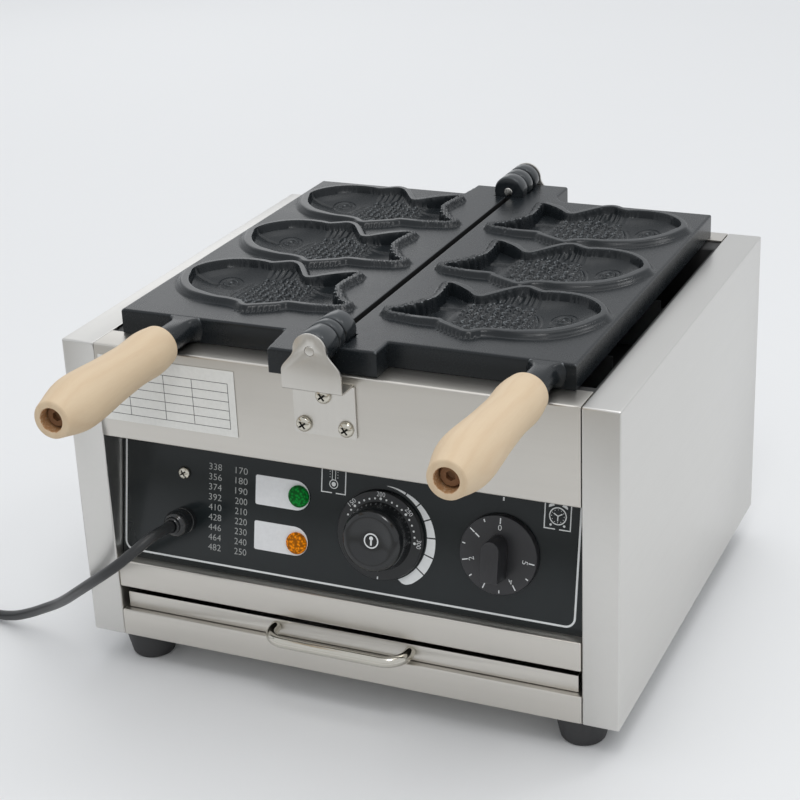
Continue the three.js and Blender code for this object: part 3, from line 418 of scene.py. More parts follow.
@dataclass(frozen=True)
class Lens(Finish):
    """Coloured indicator lens with a moulded grid inside and a faint painted glow, the lens giving
    off a little light.
    """

    glow: float = 0.25

    def build(self, graph: Graph) -> Material:
        """Checked facets below a smooth face."""
        place = graph.place()
        cells = graph.node("ShaderNodeTexVoronoi", {}, {"Vector": place, "Scale": 520.0})
        deep = tuple(c * 0.3 for c in self.colour)
        tone = graph.mixed((cells * 2.2 - 0.4).clamped(), self.colour, deep)
        return graph.surface(
            Base_Color=tone,
            Roughness=self.roughness + 0.2 * cells,
            Specular_IOR_Level=0.12,
            # Painted glow: the lens emits a little of its own colour
            Emission_Color=tone,
            Emission_Strength=self.glow,
            Normal=graph.bump(cells, 0.00025),
        )


@dataclass(frozen=True)
class Ink(Finish):
    """Screen-printed ink or printed film."""

    def build(self, graph: Graph) -> Material:
        """Slightly uneven cover with a mesh texture."""
        place = graph.place()
        cover = graph.noise(place, 350.0, 3.0)
        fibre = graph.noise(place, 2200.0, 1.0)
        thin = tuple(c * 0.86 for c in self.colour)
        return graph.surface(
            Base_Color=graph.mixed(cover, thin, self.colour),
            Roughness=self.roughness + 0.1 * (cover - 0.5),
            Normal=graph.bump(fibre, 0.000008),
        )


@dataclass(frozen=True)
class Finishes:
    """Every finish of the machine."""

    front_sheet: Finish = SatinSheet("satin_front", (0.66, 0.635, 0.59), 0.34, Grain.ACROSS)
    # Painted light: the side sheets are a lighter, cooler copy of the front's stainless, for the
    # brighter light on the sides
    side_sheet: Finish = SatinSheet("satin_side_painted_light", (0.71, 0.7, 0.675), 0.32, Grain.BACKWARD)
    bracket_sheet: Finish = SatinSheet("satin_bracket", (0.665, 0.645, 0.605), 0.32, Grain.UPRIGHT)
    inner_sheet: Finish = SatinSheet(
        "galvanised", (0.55, 0.57, 0.59), 0.42, Grain.BACKWARD, 0.00002, 0.18
    )
    sooty_sheet: Finish = SatinSheet(
        "sooty_well", (0.1, 0.1, 0.1), 0.6, Grain.BACKWARD, 0.00003, 0.2
    )
    chrome: Finish = BrightMetal("chrome", (0.66, 0.635, 0.57), 0.13)
    nickel: Finish = BrightMetal("nickel", (0.66, 0.63, 0.55), 0.12)
    # Near black painted into the screws' recesses, as shade
    grime: Finish = Moulded("recess_painted_shade", (0.012, 0.01, 0.008), 0.5)
    zinc: Finish = BrightMetal("zinc_plate", (0.72, 0.7, 0.66), 0.22, 0.14)
    casting: Finish = CastCoating("coated_casting", (0.009, 0.0112, 0.013), 0.27)
    panel: Finish = GlossPanel("panel_film", (0.009, 0.012, 0.013), 0.2)
    knob: Finish = Moulded("knob_plastic", (0.008, 0.009, 0.01), 0.2, 0.000004, 900.0, 0.2)
    skirt: Finish = Moulded("skirt_plastic", (0.008, 0.009, 0.01), 0.4, 0.00001, 1300.0)
    timer: Finish = Moulded("timer_plastic", (0.017, 0.017, 0.019), 0.34, 0.00001, 1300.0)
    gland: Finish = Moulded("gland_plastic", (0.009, 0.01, 0.011), 0.22, 0.00001, 1100.0, 0.3)
    cord: Finish = Moulded("cord_sheath", (0.019, 0.02, 0.021), 0.36, 0.00003, 700.0)
    rubber: Finish = Moulded("foot_rubber", (0.026, 0.026, 0.027), 0.6, 0.00008, 600.0)
    oxide: Finish = Moulded("browned_steel", (0.2, 0.1, 0.045), 0.75, 0.00003)
    ivory: Finish = Moulded("ivory_plastic", (0.62, 0.56, 0.42), 0.45, 0.00003, 500.0)
    element: Finish = BrightMetal("element_sheath", (0.2, 0.18, 0.165), 0.5, 0.25)
    # The last number of each lens is its painted glow, an emission strength
    green: Finish = Lens("green_lens", (0.0, 0.25, 0.03), 0.3, 0.1)
    orange: Finish = Lens("orange_lens", (0.9, 0.27, 0.0), 0.3, 0.12)
    white_ink: Finish = Ink("white_ink", (0.78, 0.8, 0.8), 0.5)
    plate_ink: Finish = Ink("grey_plate_ink", (0.8, 0.81, 0.82), 0.4)
    faint_ink: Finish = Ink("faint_ink", (0.4, 0.41, 0.4), 0.5)
    black_ink: Finish = Ink("black_ink", (0.05, 0.05, 0.055), 0.5)
    label_film: Finish = Ink("label_film", (0.8, 0.8, 0.77), 0.42)
    brass: Finish = BrightMetal("pin_brass", (0.72, 0.68, 0.58), 0.2, 0.1)

    def wood(self, hand: Hand, axis: Pair, heart: Pair) -> Finish:
        """The wood of one grip, its axis and the tree's heart given as (x, z) in metres."""
        name = f"{hand.word}_grip_wood"
        return TurnedWood(name, (0.68, 0.54, 0.37), 0.58, middle=heart, axis=axis)


FINISHES = Finishes()


def make_active(piece: Piece) -> None:
    """Selects one object alone and makes it active."""
    bpy.ops.object.select_all(action="DESELECT")
    piece.select_set(True)
    bpy.context.view_layer.objects.active = piece


@contextmanager
def editing(
    piece: Piece, kind: str = "VERT", every: bool = False
) -> Iterator[bmesh.types.BMesh]:
    """Edit mode on one object, with nothing or everything selected.

    Args:
        piece: The object.
        kind: VERT, EDGE or FACE.
        every: Whether everything is selected.

    Yields:
        The mesh being edited.
    """
    make_active(piece)
    bpy.ops.object.mode_set(mode="EDIT")
    bpy.ops.mesh.select_mode(type=kind)
    bpy.ops.mesh.select_all(action="SELECT" if every else "DESELECT")
    yield bmesh.from_edit_mesh(piece.data)
    bpy.ops.object.mode_set(mode="OBJECT")


def primitive(name: str, kind: str, **sizes: object) -> Piece:
    """Adds a mesh primitive, with everything else deselected."""
    bpy.ops.object.select_all(action="DESELECT")
    getattr(bpy.ops.mesh, f"primitive_{kind}_add")(**sizes)
    piece = bpy.context.active_object
    piece.name = name
    piece.data.name = name
    return piece


def close_up(piece: Piece, gap: float = 0.0005) -> None:
    """Merges doubled points and turns every face outwards."""
    with editing(piece, every=True):
        bpy.ops.mesh.remove_doubles(threshold=gap)
        bpy.ops.mesh.normals_make_consistent(inside=False)


def modified(piece: Piece, kind: str, **settings: object) -> None:
    """Adds a modifier and applies it."""
    make_active(piece)
    modifier = piece.modifiers.new(kind.lower(), kind)
    for key, value in settings.items():
        setattr(modifier, key, value)
    bpy.ops.object.modifier_apply(modifier=modifier.name)


def bevelled(piece: Piece, width: float, segments: int = 2, angle: float = 40.0) -> None:
    """Rounds the edges sharper than an angle, in degrees."""
    settings = {"limit_method": "ANGLE", "miter_outer": "MITER_ARC", "use_clamp_overlap": True}
    limit = math.radians(angle)
    modified(piece, "BEVEL", width=width, segments=segments, angle_limit=limit, **settings)


def joined(name: str, parts: Sequence[Piece]) -> Piece:
    """Joins objects into one."""
    make_active(parts[0])
    for part in parts:
        part.select_set(True)
    if len(parts) > 1:
        bpy.ops.object.join()
    whole = bpy.context.active_object
    whole.name = name
    whole.data.name = name
    return whole


def turned(name: str, profile: Outline, facets: int = 48) -> Piece:
    """Body of revolution about z, extruded ring by ring from a circle.

    Args:
        name: The object's name.
        profile: (radius, height) points, from the axis back to it or round to their start.
        facets: Points round each ring.

    Returns:
        The closed body.
    """
    piece = primitive(name, "circle", vertices=facets, radius=1.0, fill_type="NOTHING")
    with editing(piece, every=True):
        for _ in profile[1:]:
            bpy.ops.mesh.extrude_region_move(TRANSFORM_OT_translate={"value": (0.0, 0.0, 1.0)})
    for vertex in piece.data.vertices:
        radius, height = profile[round(vertex.co.z)]
        vertex.co = (vertex.co.x * radius, vertex.co.y * radius, height)
    close_up(piece)
    return piece


def prism(name: str, outline: Outline, bottom: float, top: float) -> Piece:
    """A flat outline in (x, y) carried up from bottom to top."""
    piece = primitive(name, "circle", vertices=len(outline), radius=1.0, fill_type="NGON")
    for vertex, (x, y) in zip(piece.data.vertices, outline):
        vertex.co = (x, y, bottom)
    with editing(piece, "FACE", every=True):
        bpy.ops.mesh.extrude_region_move(TRANSFORM_OT_translate={"value": (0.0, 0.0, top - bottom)})
        bpy.ops.mesh.select_all(action="SELECT")
        bpy.ops.mesh.normals_make_consistent(inside=False)
    return piece


def block(name: str, low: Point, high: Point) -> Piece:
    """A box between two corners, for cutting or for bevelling."""
    piece = primitive(name, "cube", size=1.0)
    for vertex in piece.data.vertices:
        vertex.co = [lo if c < 0 else hi for c, lo, hi in zip(vertex.co, low, high)]
    return piece


def facing_out(piece: Piece) -> None:
    """Turns every face outwards."""
    with editing(piece, every=True):
        bpy.ops.mesh.normals_make_consistent(inside=False)


def shift(x: float, y: float, z: float) -> Matrix:
    """A move by a step."""
    return Matrix.Translation((x, y, z))


def cut_away(piece: Piece, *cutters: Piece) -> None:
    """Cuts bodies out of a piece and removes them."""
    for cutter in cutters:
        modified(piece, "BOOLEAN", operation="DIFFERENCE", solver="EXACT", object=cutter)
        bpy.data.objects.remove(cutter)


def moved(piece: Piece, *steps: Matrix) -> Piece:
    """Moves a piece's mesh by matrices, the first one first."""
    for step in steps:
        piece.data.transform(step)
    if steps and math.prod(step.determinant() for step in steps) < 0:
        piece.data.flip_normals()
    piece.data.update()
    return piece


def smooth_line(points: Sequence[Point], steps: int, closed: bool = False) -> np.ndarray:
    """A centripetal Catmull-Rom line through points.

    Args:
        points: The points to pass through.
        steps: New points for each stretch.
        closed: Whether the line comes back to its start.

    Returns:
        The line's points, one row each.
    """
    p = np.array(points, float)
    if closed:
        p = np.vstack([p[-1], p, p[0], p[1]])
    else:
        p = np.vstack([2 * p[0] - p[1], p, 2 * p[-1] - p[-2]])
    made = []
    for i in range(len(p) - 3):
        a, b, c, d = p[i : i + 4]
        t0 = 0.0
        t1 = t0 + math.sqrt(np.linalg.norm(b - a))
        t2 = t1 + math.sqrt(np.linalg.norm(c - b))
        t3 = t2 + math.sqrt(np.linalg.norm(d - c))
        t = np.linspace(t1, t2, steps, endpoint=False)[:, None]
        ab = (t1 - t) / (t1 - t0) * a + (t - t0) / (t1 - t0) * b
        bc = (t2 - t) / (t2 - t1) * b + (t - t1) / (t2 - t1) * c
        cd = (t3 - t) / (t3 - t2) * c + (t - t2) / (t3 - t2) * d
        abc = (t2 - t) / (t2 - t0) * ab + (t - t0) / (t2 - t0) * bc
        bcd = (t3 - t) / (t3 - t1) * bc + (t - t1) / (t3 - t1) * cd
        made.append((t2 - t) / (t2 - t1) * abc + (t - t1) / (t2 - t1) * bcd)
    line = np.vstack(made)
    return line if closed else np.vstack([line, p[-2]])


def curve_along(name: str, points: np.ndarray, radius: float, ring: int = 4) -> Piece:
    """A round curve of one open spline through points in millimetres, set down in metres."""
    data = bpy.data.curves.new(name, "CURVE")
    data.dimensions = "3D"
    data.bevel_depth = radius * 0.001
    data.bevel_resolution = ring
    data.use_fill_caps = True
    spline = data.splines.new("POLY")
    spline.points.add(len(points) - 1)
    for target, point in zip(spline.points, points):
        target.co = (*(METRES @ Vector(point)), 1.0)
    piece = bpy.data.objects.new(name, data)
    bpy.context.scene.collection.objects.link(piece)
    return piece


def tube_along(name: str, points: np.ndarray, radius: float, ring: int = 6) -> Piece:
    """A closed round tube along points, as a mesh in millimetres."""
    piece = curve_along(name, points, radius, ring)
    make_active(piece)
    bpy.ops.object.convert(target="MESH")
    piece = bpy.context.active_object
    moved(piece, MILLIMETRES)
    close_up(piece)
    return piece


def copied(node: str, name: str) -> Piece:
    """A merged copy of a CAD node in millimetres, its flat faces whole."""
    piece = bpy.data.objects.new(name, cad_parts[node].data.copy())
    bpy.context.scene.collection.objects.link(piece)
    make_active(piece)
    if piece.data.has_custom_normals:
        bpy.ops.mesh.customdata_custom_splitnormals_clear()
    moved(piece, MILLIMETRES)
    with editing(piece, every=True):
        bpy.ops.mesh.remove_doubles(threshold=0.002)
        bpy.ops.mesh.dissolve_limited(angle_limit=math.radians(0.6))
    return piece


def softened_folds(piece: Piece, radius: float, wide: float = 3.0) -> None:
    """Rounds the outer corners of a folded sheet, and breaks its cut edges slightly.

    Args:
        piece: The sheet, in millimetres.
        radius: The outer bend radius.
        wide: The narrowest face that counts as a side of the sheet and not as its cut edge.
    """
    with editing(piece, "EDGE") as mesh:
        for edge in mesh.edges:
            faces = edge.link_faces
            if len(faces) != 2 or edge.calc_length() < wide or not edge.is_convex:
                continue
            widths = [f.calc_area() / max(e.calc_length() for e in f.edges) for f in faces]
            if min(widths) > wide and edge.calc_face_angle() > math.radians(50):
                edge.select = True
        bpy.ops.mesh.bevel(offset=radius, offset_type="OFFSET", segments=4, affect="EDGES")
    bevelled(piece, 0.22, 1, 55.0)


def fitted(
    piece: Piece,
    finish: Finish,
    nodes: Sequence[str] = (),
    smooth: float = 35.0,
    body: str = "cabinet",
) -> Piece:
    """Sets a finished piece down in the row frame, dresses it and puts it on its body.

    Args:
        piece: The piece: a mesh in millimetres, or a curve that is already in metres.
        finish: Its finish.
        nodes: The CAD nodes it replaces.
        smooth: Edges flatter than this, in degrees, are shaded smooth; 0 leaves the shading.
        body: The CAD body it rides on.

    Returns:
        The piece.
    """
    is_mesh = piece.type == "MESH"
    if is_mesh:
        moved(piece, METRES)
    piece.data.materials.clear()
    piece.data.materials.append(finish.material())
    if smooth and is_mesh:
        make_active(piece)
        bpy.ops.object.shade_smooth_by_angle(angle=math.radians(smooth))
    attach(piece, body)
    if nodes:
        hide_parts(*nodes)
    LOG.info("%s on %s in %s", piece.name, body, finish.name)
    return piece


def refinished(piece: Piece, faces: Sequence[int], finish: Finish) -> None:
    """Gives some faces of a dressed piece a second finish."""
    piece.data.materials.append(finish.material())
    for index in faces:
        piece.data.polygons[index].material_index = 1


def dressed(node: str, finish: Finish) -> None:
    """Gives a CAD node that stays a finish."""
    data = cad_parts[node].data
    data.materials.clear()
    data.materials.append(finish.material())
    LOG.info("%s stays, in %s", node, finish.name)


def around(centre: Point, radius: float, angle: float) -> Pair:
    """A point round a centre, its angle in degrees clockwise from straight up."""
    turn = math.radians(angle)
    return centre[0] + radius * math.sin(turn), centre[1] + radius * math.cos(turn)


def arc(centre: Point, radius: float, start: float, end: float, steps: int) -> Outline:
    """Points on an arc, its angles as in around."""
    return [around(centre, radius, start + (end - start) * i / steps) for i in range(steps + 1)]


def stroke(points: Outline, width: float) -> Outline:
    """The outline of a line of one width through points."""
    p = np.array(points, float)
    step = np.diff(p, axis=0)
    normal = np.stack([-step[:, 1], step[:, 0]], 1) / np.linalg.norm(step, axis=1)[:, None]
    before = np.vstack([normal[:1], normal])
    after = np.vstack([normal, normal[-1:]])
    mitre = before + after
    mitre /= np.maximum((mitre * before).sum(1), 0.3)[:, None]
    left, right = p + mitre * width / 2, p - mitre * width / 2
    return [tuple(x) for x in np.vstack([left, right[::-1]])]


class Print:
    """Flat print gathered in one frame (x across, y up, z out of the surface)."""

    def __init__(self, name: str, base: float, thickness: float = 0.06) -> None:
        """Starts an empty print that begins at a height above the frame's zero."""
        self.name = name
        self.base = base
        self.thickness = thickness
        self.parts: list[Piece] = []

    def area(self, outline: Outline) -> None:
        """Prints a filled outline."""
        self.parts.append(prism("mark", outline, self.base, self.base + self.thickness))

    def line(self, points: Outline, width: float) -> None:
        """Prints a line."""
        self.area(stroke(points, width))

    def ring(self, centre: Point, radius: float, width: float, steps: int = 28) -> None:
        """Prints a ring, in two halves."""
        for start in (0.0, 180.0):
            self.line(arc(centre, radius, start, start + 180.0, steps // 2), width)

    def dot(self, centre: Point, radius: float, facets: int = 12) -> None:
        """Prints a dot."""
        self.area(arc(centre, radius, 0.0, 360.0 * (facets - 1) / facets, facets - 1)[::-1])

    def number(
        self, text: str, centre: Point, height: float, width: float, turn: float = 0.0
    ) -> None:
        """Prints a number.

        Args:
            text: The digits.
            centre: Their middle.
            height: Their height.
            width: The width of the whole number.
            turn: Degrees clockwise.
        """
        bpy.ops.object.select_all(action="DESELECT")
        bpy.ops.object.text_add()
        digits = bpy.context.active_object
        digits.data.body = text
        digits.data.resolution_u = 3
        digits.data.extrude = self.thickness / 2
        digits.data.offset = DIGIT_THINNING
        bpy.ops.object.convert(target="MESH")
        digits = bpy.context.active_object
        corners = np.array([v.co for v in digits.data.vertices])
        low, high = corners.min(0), corners.max(0)
        middle = Matrix.Translation([-(lo + hi) / 2 for lo, hi in zip(low, high)])
        scale = Matrix.Diagonal((width / (high[0] - low[0]), height / (high[1] - low[1]), 1.0, 1.0))
        turning = Matrix.Rotation(math.radians(-turn), 4, "Z")
        place = shift(centre[0], centre[1], self.base + self.thickness / 2)
        moved(digits, middle, scale, turning, place)
        close_up(digits)
        self.parts.append(digits)

    def fit(
        self, finish: Finish, place: Matrix, slot: str = "label", smooth: float = 0.0,
        body: str = "cabinet",
    ) -> None:
        """Joins the print, moves it to its place and dresses it."""
        fitted(moved(joined(self.name, self.parts), place), finish, (), smooth, body)


@dataclass
class Studio:
    """Camera, floor, lamps and world."""

    eye: Triple = (543.3, -1059.6, 727.9)
    yaw: float = 24.66
    pitch: float = 23.14
    roll: float = -2.51
    focal_pixels: float = 1876.2
    picture_width: float = 800.0
    sensor: float = 36.0
    pale: Triple = (0.8, 0.805, 0.81)
    dim: Triple = (0.34, 0.32, 0.285)
    sky: Triple = (0.955, 0.975, 1.0)
    sky_strength: float = 0.76
    sun_energy: float = 0.55
    sun_spread: float = 52.0
    aim: Triple = (0.0, 0.05, 0.24)

    def camera(self) -> None:
        """A camera at the photograph's angle."""
        yaw, pitch, roll = (math.radians(x) for x in (self.yaw, self.pitch, self.roll))
        share = math.cos(pitch)
        ahead = Vector((-math.sin(yaw) * share, math.cos(yaw) * share, -math.sin(pitch)))
        level = Vector((math.cos(yaw), math.sin(yaw), 0.0))
        rise = level.cross(ahead)
        right = math.cos(roll) * level + math.sin(roll) * rise
        up = math.cos(roll) * rise - math.sin(roll) * level
        data = bpy.data.cameras.new("camera")
        data.sensor_width = self.sensor
        data.lens = self.focal_pixels / self.picture_width * self.sensor
        data.clip_end = 50.0
        camera = bpy.data.objects.new("camera", data)
        bpy.context.scene.collection.objects.link(camera)
        turn = Matrix((right, up, -ahead)).transposed().to_4x4()
        camera.matrix_world = Matrix.Translation(METRES @ Vector(self.eye)) @ turn
        bpy.context.scene.camera = camera

    def floor(self) -> None:
        """A wide pale floor that dims towards the front, out of the picture."""
        floor = primitive("floor", "plane", size=16.0)
        graph = Graph("floor_paint")
        place = graph.place()
        grain = graph.noise(place, 6.0, 2.0)
        back = graph.node("ShaderNodeSeparateXYZ", {}, {0: place}, 1)
        near = ((-1.0 * back - 0.5) * 1.3).clamped()
        pale = graph.mixed(near, self.pale, self.dim)
        graph.surface(
            Base_Color=graph.mixed(0.02 * grain, pale, (0.5, 0.5, 0.5)),
            Roughness=0.7,
            Specular_IOR_Level=0.2,
        )
        floor.data.materials.append(graph.material)

    def lamps(self) -> None:
        """A wide soft sun, a key, a small lamp for the highlights, a sheen and an even world."""
        sun = bpy.data.lights.new("overhead", "SUN")
        sun.energy = self.sun_energy
        sun.angle = math.radians(self.sun_spread)
        self.aimed("overhead", sun, (0.1, 0.3, 1.3), (0.0, 0.0, 0.0))
        for name, size, energy, place in (
            ("highlights", 0.35, 3.0, (1.1, 0.9, 1.9)),
            ("key", 0.5, 6.5, (0.5, -0.95, 1.9)),
            ("sheen", 1.1, 2.2, (-1.5, 2.1, 1.15)),
        ):
            lamp = bpy.data.lights.new(name, "AREA")
            lamp.size = size
            lamp.energy = energy
            self.aimed(name, lamp, place, self.aim)
        world = bpy.data.worlds.new("studio")
        world.use_nodes = True
        background = world.node_tree.nodes["Background"]
        background.inputs["Color"].default_value = (*self.sky, 1.0)
        background.inputs["Strength"].default_value = self.sky_strength
        bpy.context.scene.world = world

    @staticmethod
    def aimed(name: str, data: bpy.types.Light, place: Point, target: Point) -> None:
        """Puts a lamp at a place and turns it to a target."""
        lamp = bpy.data.objects.new(name, data)
        bpy.context.scene.collection.objects.link(lamp)
        lamp.location = place
        aim = Vector(target) - Vector(place)
        lamp.rotation_euler = aim.to_track_quat("-Z", "Y").to_euler()

    def build(self) -> None:
        """Sets up everything that isn't part of the object."""
        bpy.context.scene.view_settings.view_transform = "Standard"
        self.camera()
        self.floor()
        self.lamps()


def on_panel(across: float, up: float, out: float) -> Triple:
    """A place on the control panel, in the cabinet's frame."""
    return tuple(PANEL_FRAME @ Vector((across, up, out)))


def fitting_place(across: float, up: float) -> Matrix:
    """The frame of a turned fitting on the control panel, its axis out of it."""
    return PANEL_FRAME @ shift(across, up, 0.0)


@dataclass
class MainsCord:
    """The cord with its gland, coil, tie and plug."""

    radius: float = 4.0
    gland: Pair = (-131.5, 36.0)
    exit_out: float = 21.3
    route: tuple[Point, ...] = (
        (-134, -29, 106.5), (-142, -42, 99.5), (-152.5, -48.5, 90.5), (-165, -49, 80.7),
        (-182, -44, 67.3), (-201, -34, 51.8), (-221, -21, 35.3), (-241, -8, 20.1), (-261, 2, 7),
        (-281, 10, -5), (-301, 16, -14.5), (-321, 21, -20), (-345, 26, -21.8), (-370, 29.4, -21.2),
        (-390, 30, -20.5),
    )
    tail: tuple[Point, ...] = (
        (-452, 31, -12), (-470, 38, -10.8), (-482, 52, -9.4), (-486, 70, -8.6),
    )
    coil_centre: Pair = (-420.0, -20.0)
    coil_radius: float = 50.0
    coil_low: float = -20.5
    coil_rise: float = 8.6
    loops: int = 4
    pitch: float = 8.8
    plug_entry: Triple = (-486.0, 98.0, -8.5)
    pin_x: float = 9.5
    length: float = 1.53

    def leads(self) -> list[Point]:
        """Straight out of the gland."""
        return [on_panel(*self.gland, self.exit_out + out) for out in (0.0, 4.0, 8.0)]

    def coil(self) -> list[Point]:
        """In to the middle on the low layer, up, and out again on the high one."""
        x, y = self.coil_centre
        total = 2 * math.pi * self.loops
        count = 24 * self.loops
        made = [(x + 8.0, y + self.coil_radius, self.coil_low)]
        for i in range(count + 1):
            angle = total * i / count
            radius = self.coil_radius - self.pitch * min(angle, total - angle) / (2 * math.pi)
            share = min(1.0, max(0.0, (angle - (total - math.pi) / 2) / math.pi))
            climb = share * share * (3 - 2 * share)
            height = self.coil_low + self.coil_rise * climb
            made.append((x - radius * math.sin(angle), y + radius * math.cos(angle), height))
        made.append((x - 8.0, y + self.coil_radius, self.coil_low + self.coil_rise))
        return made

    def points(self) -> list[Point]:
        """The whole route, from the gland to the plug."""
        x, y = self.coil_centre
        y += self.coil_radius
        high = self.coil_low + self.coil_rise
        plug_x, entry, axis = self.plug_entry
        before = [(x + 16.0, y, self.coil_low), (x + 12.0, y, self.coil_low)]
        after = [(x - 12.0, y, high), (x - 16.0, y, high)]
        ends = [(plug_x, entry - 0.3 - back, axis) for back in (8.0, 4.0, 0.0)]
        return [*self.leads(), *self.route, *before, *self.coil(), *after, *self.tail, *ends]

    def sheath(self, pieces: Sequence[Piece]) -> None:
        """The cord itself."""
        line = smooth_line(self.points(), 6)
        cord = curve_along("cord_sheath", line, self.radius, 6)
        fitted(cord, FINISHES.cord, ["power_cord", "cord_coil", "cord_tail"])

    def gland_body(self) -> None:
        """Strain relief: a collar, and a domed nut that tapers down to the cord."""
        profile = [
            (0.0, -11.5), (7.2, -11.5), (7.7, -11.0), (7.7, 0.3), (10.0, 0.3), (10.0, 4.6),
            (9.7, 5.0), (9.1, 5.2), (9.1, 5.9), (9.8, 6.2), (9.95, 7.0), (9.9, 12.6), (9.6, 14.4),
            (9.0, 15.8), (8.2, 16.9), (7.4, 17.6), (6.9, 17.9), (6.6, 18.3), (6.5, 19.4),
            (6.1, 20.4), (5.4, 21.0), (4.7, 21.0), (4.25, 20.4), (0.0, 20.4),
        ]
        body = moved(turned("gland_body", profile, 56), fitting_place(*self.gland))
        fitted(body, FINISHES.gland, ["cord_gland"], 28.0)

    def tie(self) -> Piece:
        """A flat tie round one side of the coil, with its locking head."""
        band = copied("cord_tie", "tie_band")
        bevelled(band, 0.5, 2, 50.0)
        x = self.coil_centre[0]
        low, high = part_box("cord_tie")
        top = (MILLIMETRES @ high).z
        near = (MILLIMETRES @ low).y
        head = block("head", (x - 3.6, near + 4.0, top - 1.2), (x + 3.6, near + 12.0, top))
        bevelled(head, 0.6, 2)
        tie = joined("tie_band", [band, head])
        return fitted(tie, FINISHES.gland, ["cord_tie"])

    def plug(self) -> list[Piece]:
        """Moulded plug with a ribbed sleeve, finger grooves and two round pins."""
        profile = [(0.0, 0.0), (5.6, 0.0), (6.4, 0.6)]
        for i in range(4):
            z = 1.6 + 3.0 * i
            profile += [(6.5, z), (5.6, z + 0.5), (5.6, z + 1.3), (6.5, z + 1.8)]
        profile += [
            (6.6, 14.0), (8.6, 16.6), (11.2, 19.4), (12.5, 22.5), (12.4, 26.0), (11.6, 29.0),
            (11.5, 33.0), (12.4, 37.0), (14.6, 39.4), (17.0, 40.8), (17.5, 42.2), (17.5, 48.8),
            (16.6, 50.0), (0.0, 50.0),
        ]
        body = turned("plug_body", profile, 56)
        pins = []
        for side in (-1, 1):
            aside = shift(side * self.pin_x, 0.0, 0.0)
            rod = [(0.0, 44.0), (2.4, 44.0), (2.4, 67.6), (2.1, 68.5), (1.3, 69.0), (0.0, 69.0)]
            pin = turned("pin", rod, 24)
            cover = [(0.0, 46.0), (2.42, 46.0), (2.42, 58.5), (2.36, 58.8), (0.0, 58.8)]
            sleeve = turned("sleeve", cover, 24)
            pins.append(moved(pin, aside))
            body = joined("plug_body", [body, moved(sleeve, aside)])
        place = shift(*self.plug_entry) @ TO_BACK
        fitted(moved(body, place), FINISHES.cord, ["mains_plug"], 32.0)
        metal = moved(joined("plug_pins", pins), place)
        return [body, fitted(metal, FINISHES.brass, smooth=40.0)]

    def build(self) -> None:
        """Gland, tie, plug, then the cord."""
        self.gland_body()
        dressed("gland_nut", FINISHES.gland)
        self.sheath([self.tie(), *self.plug()])


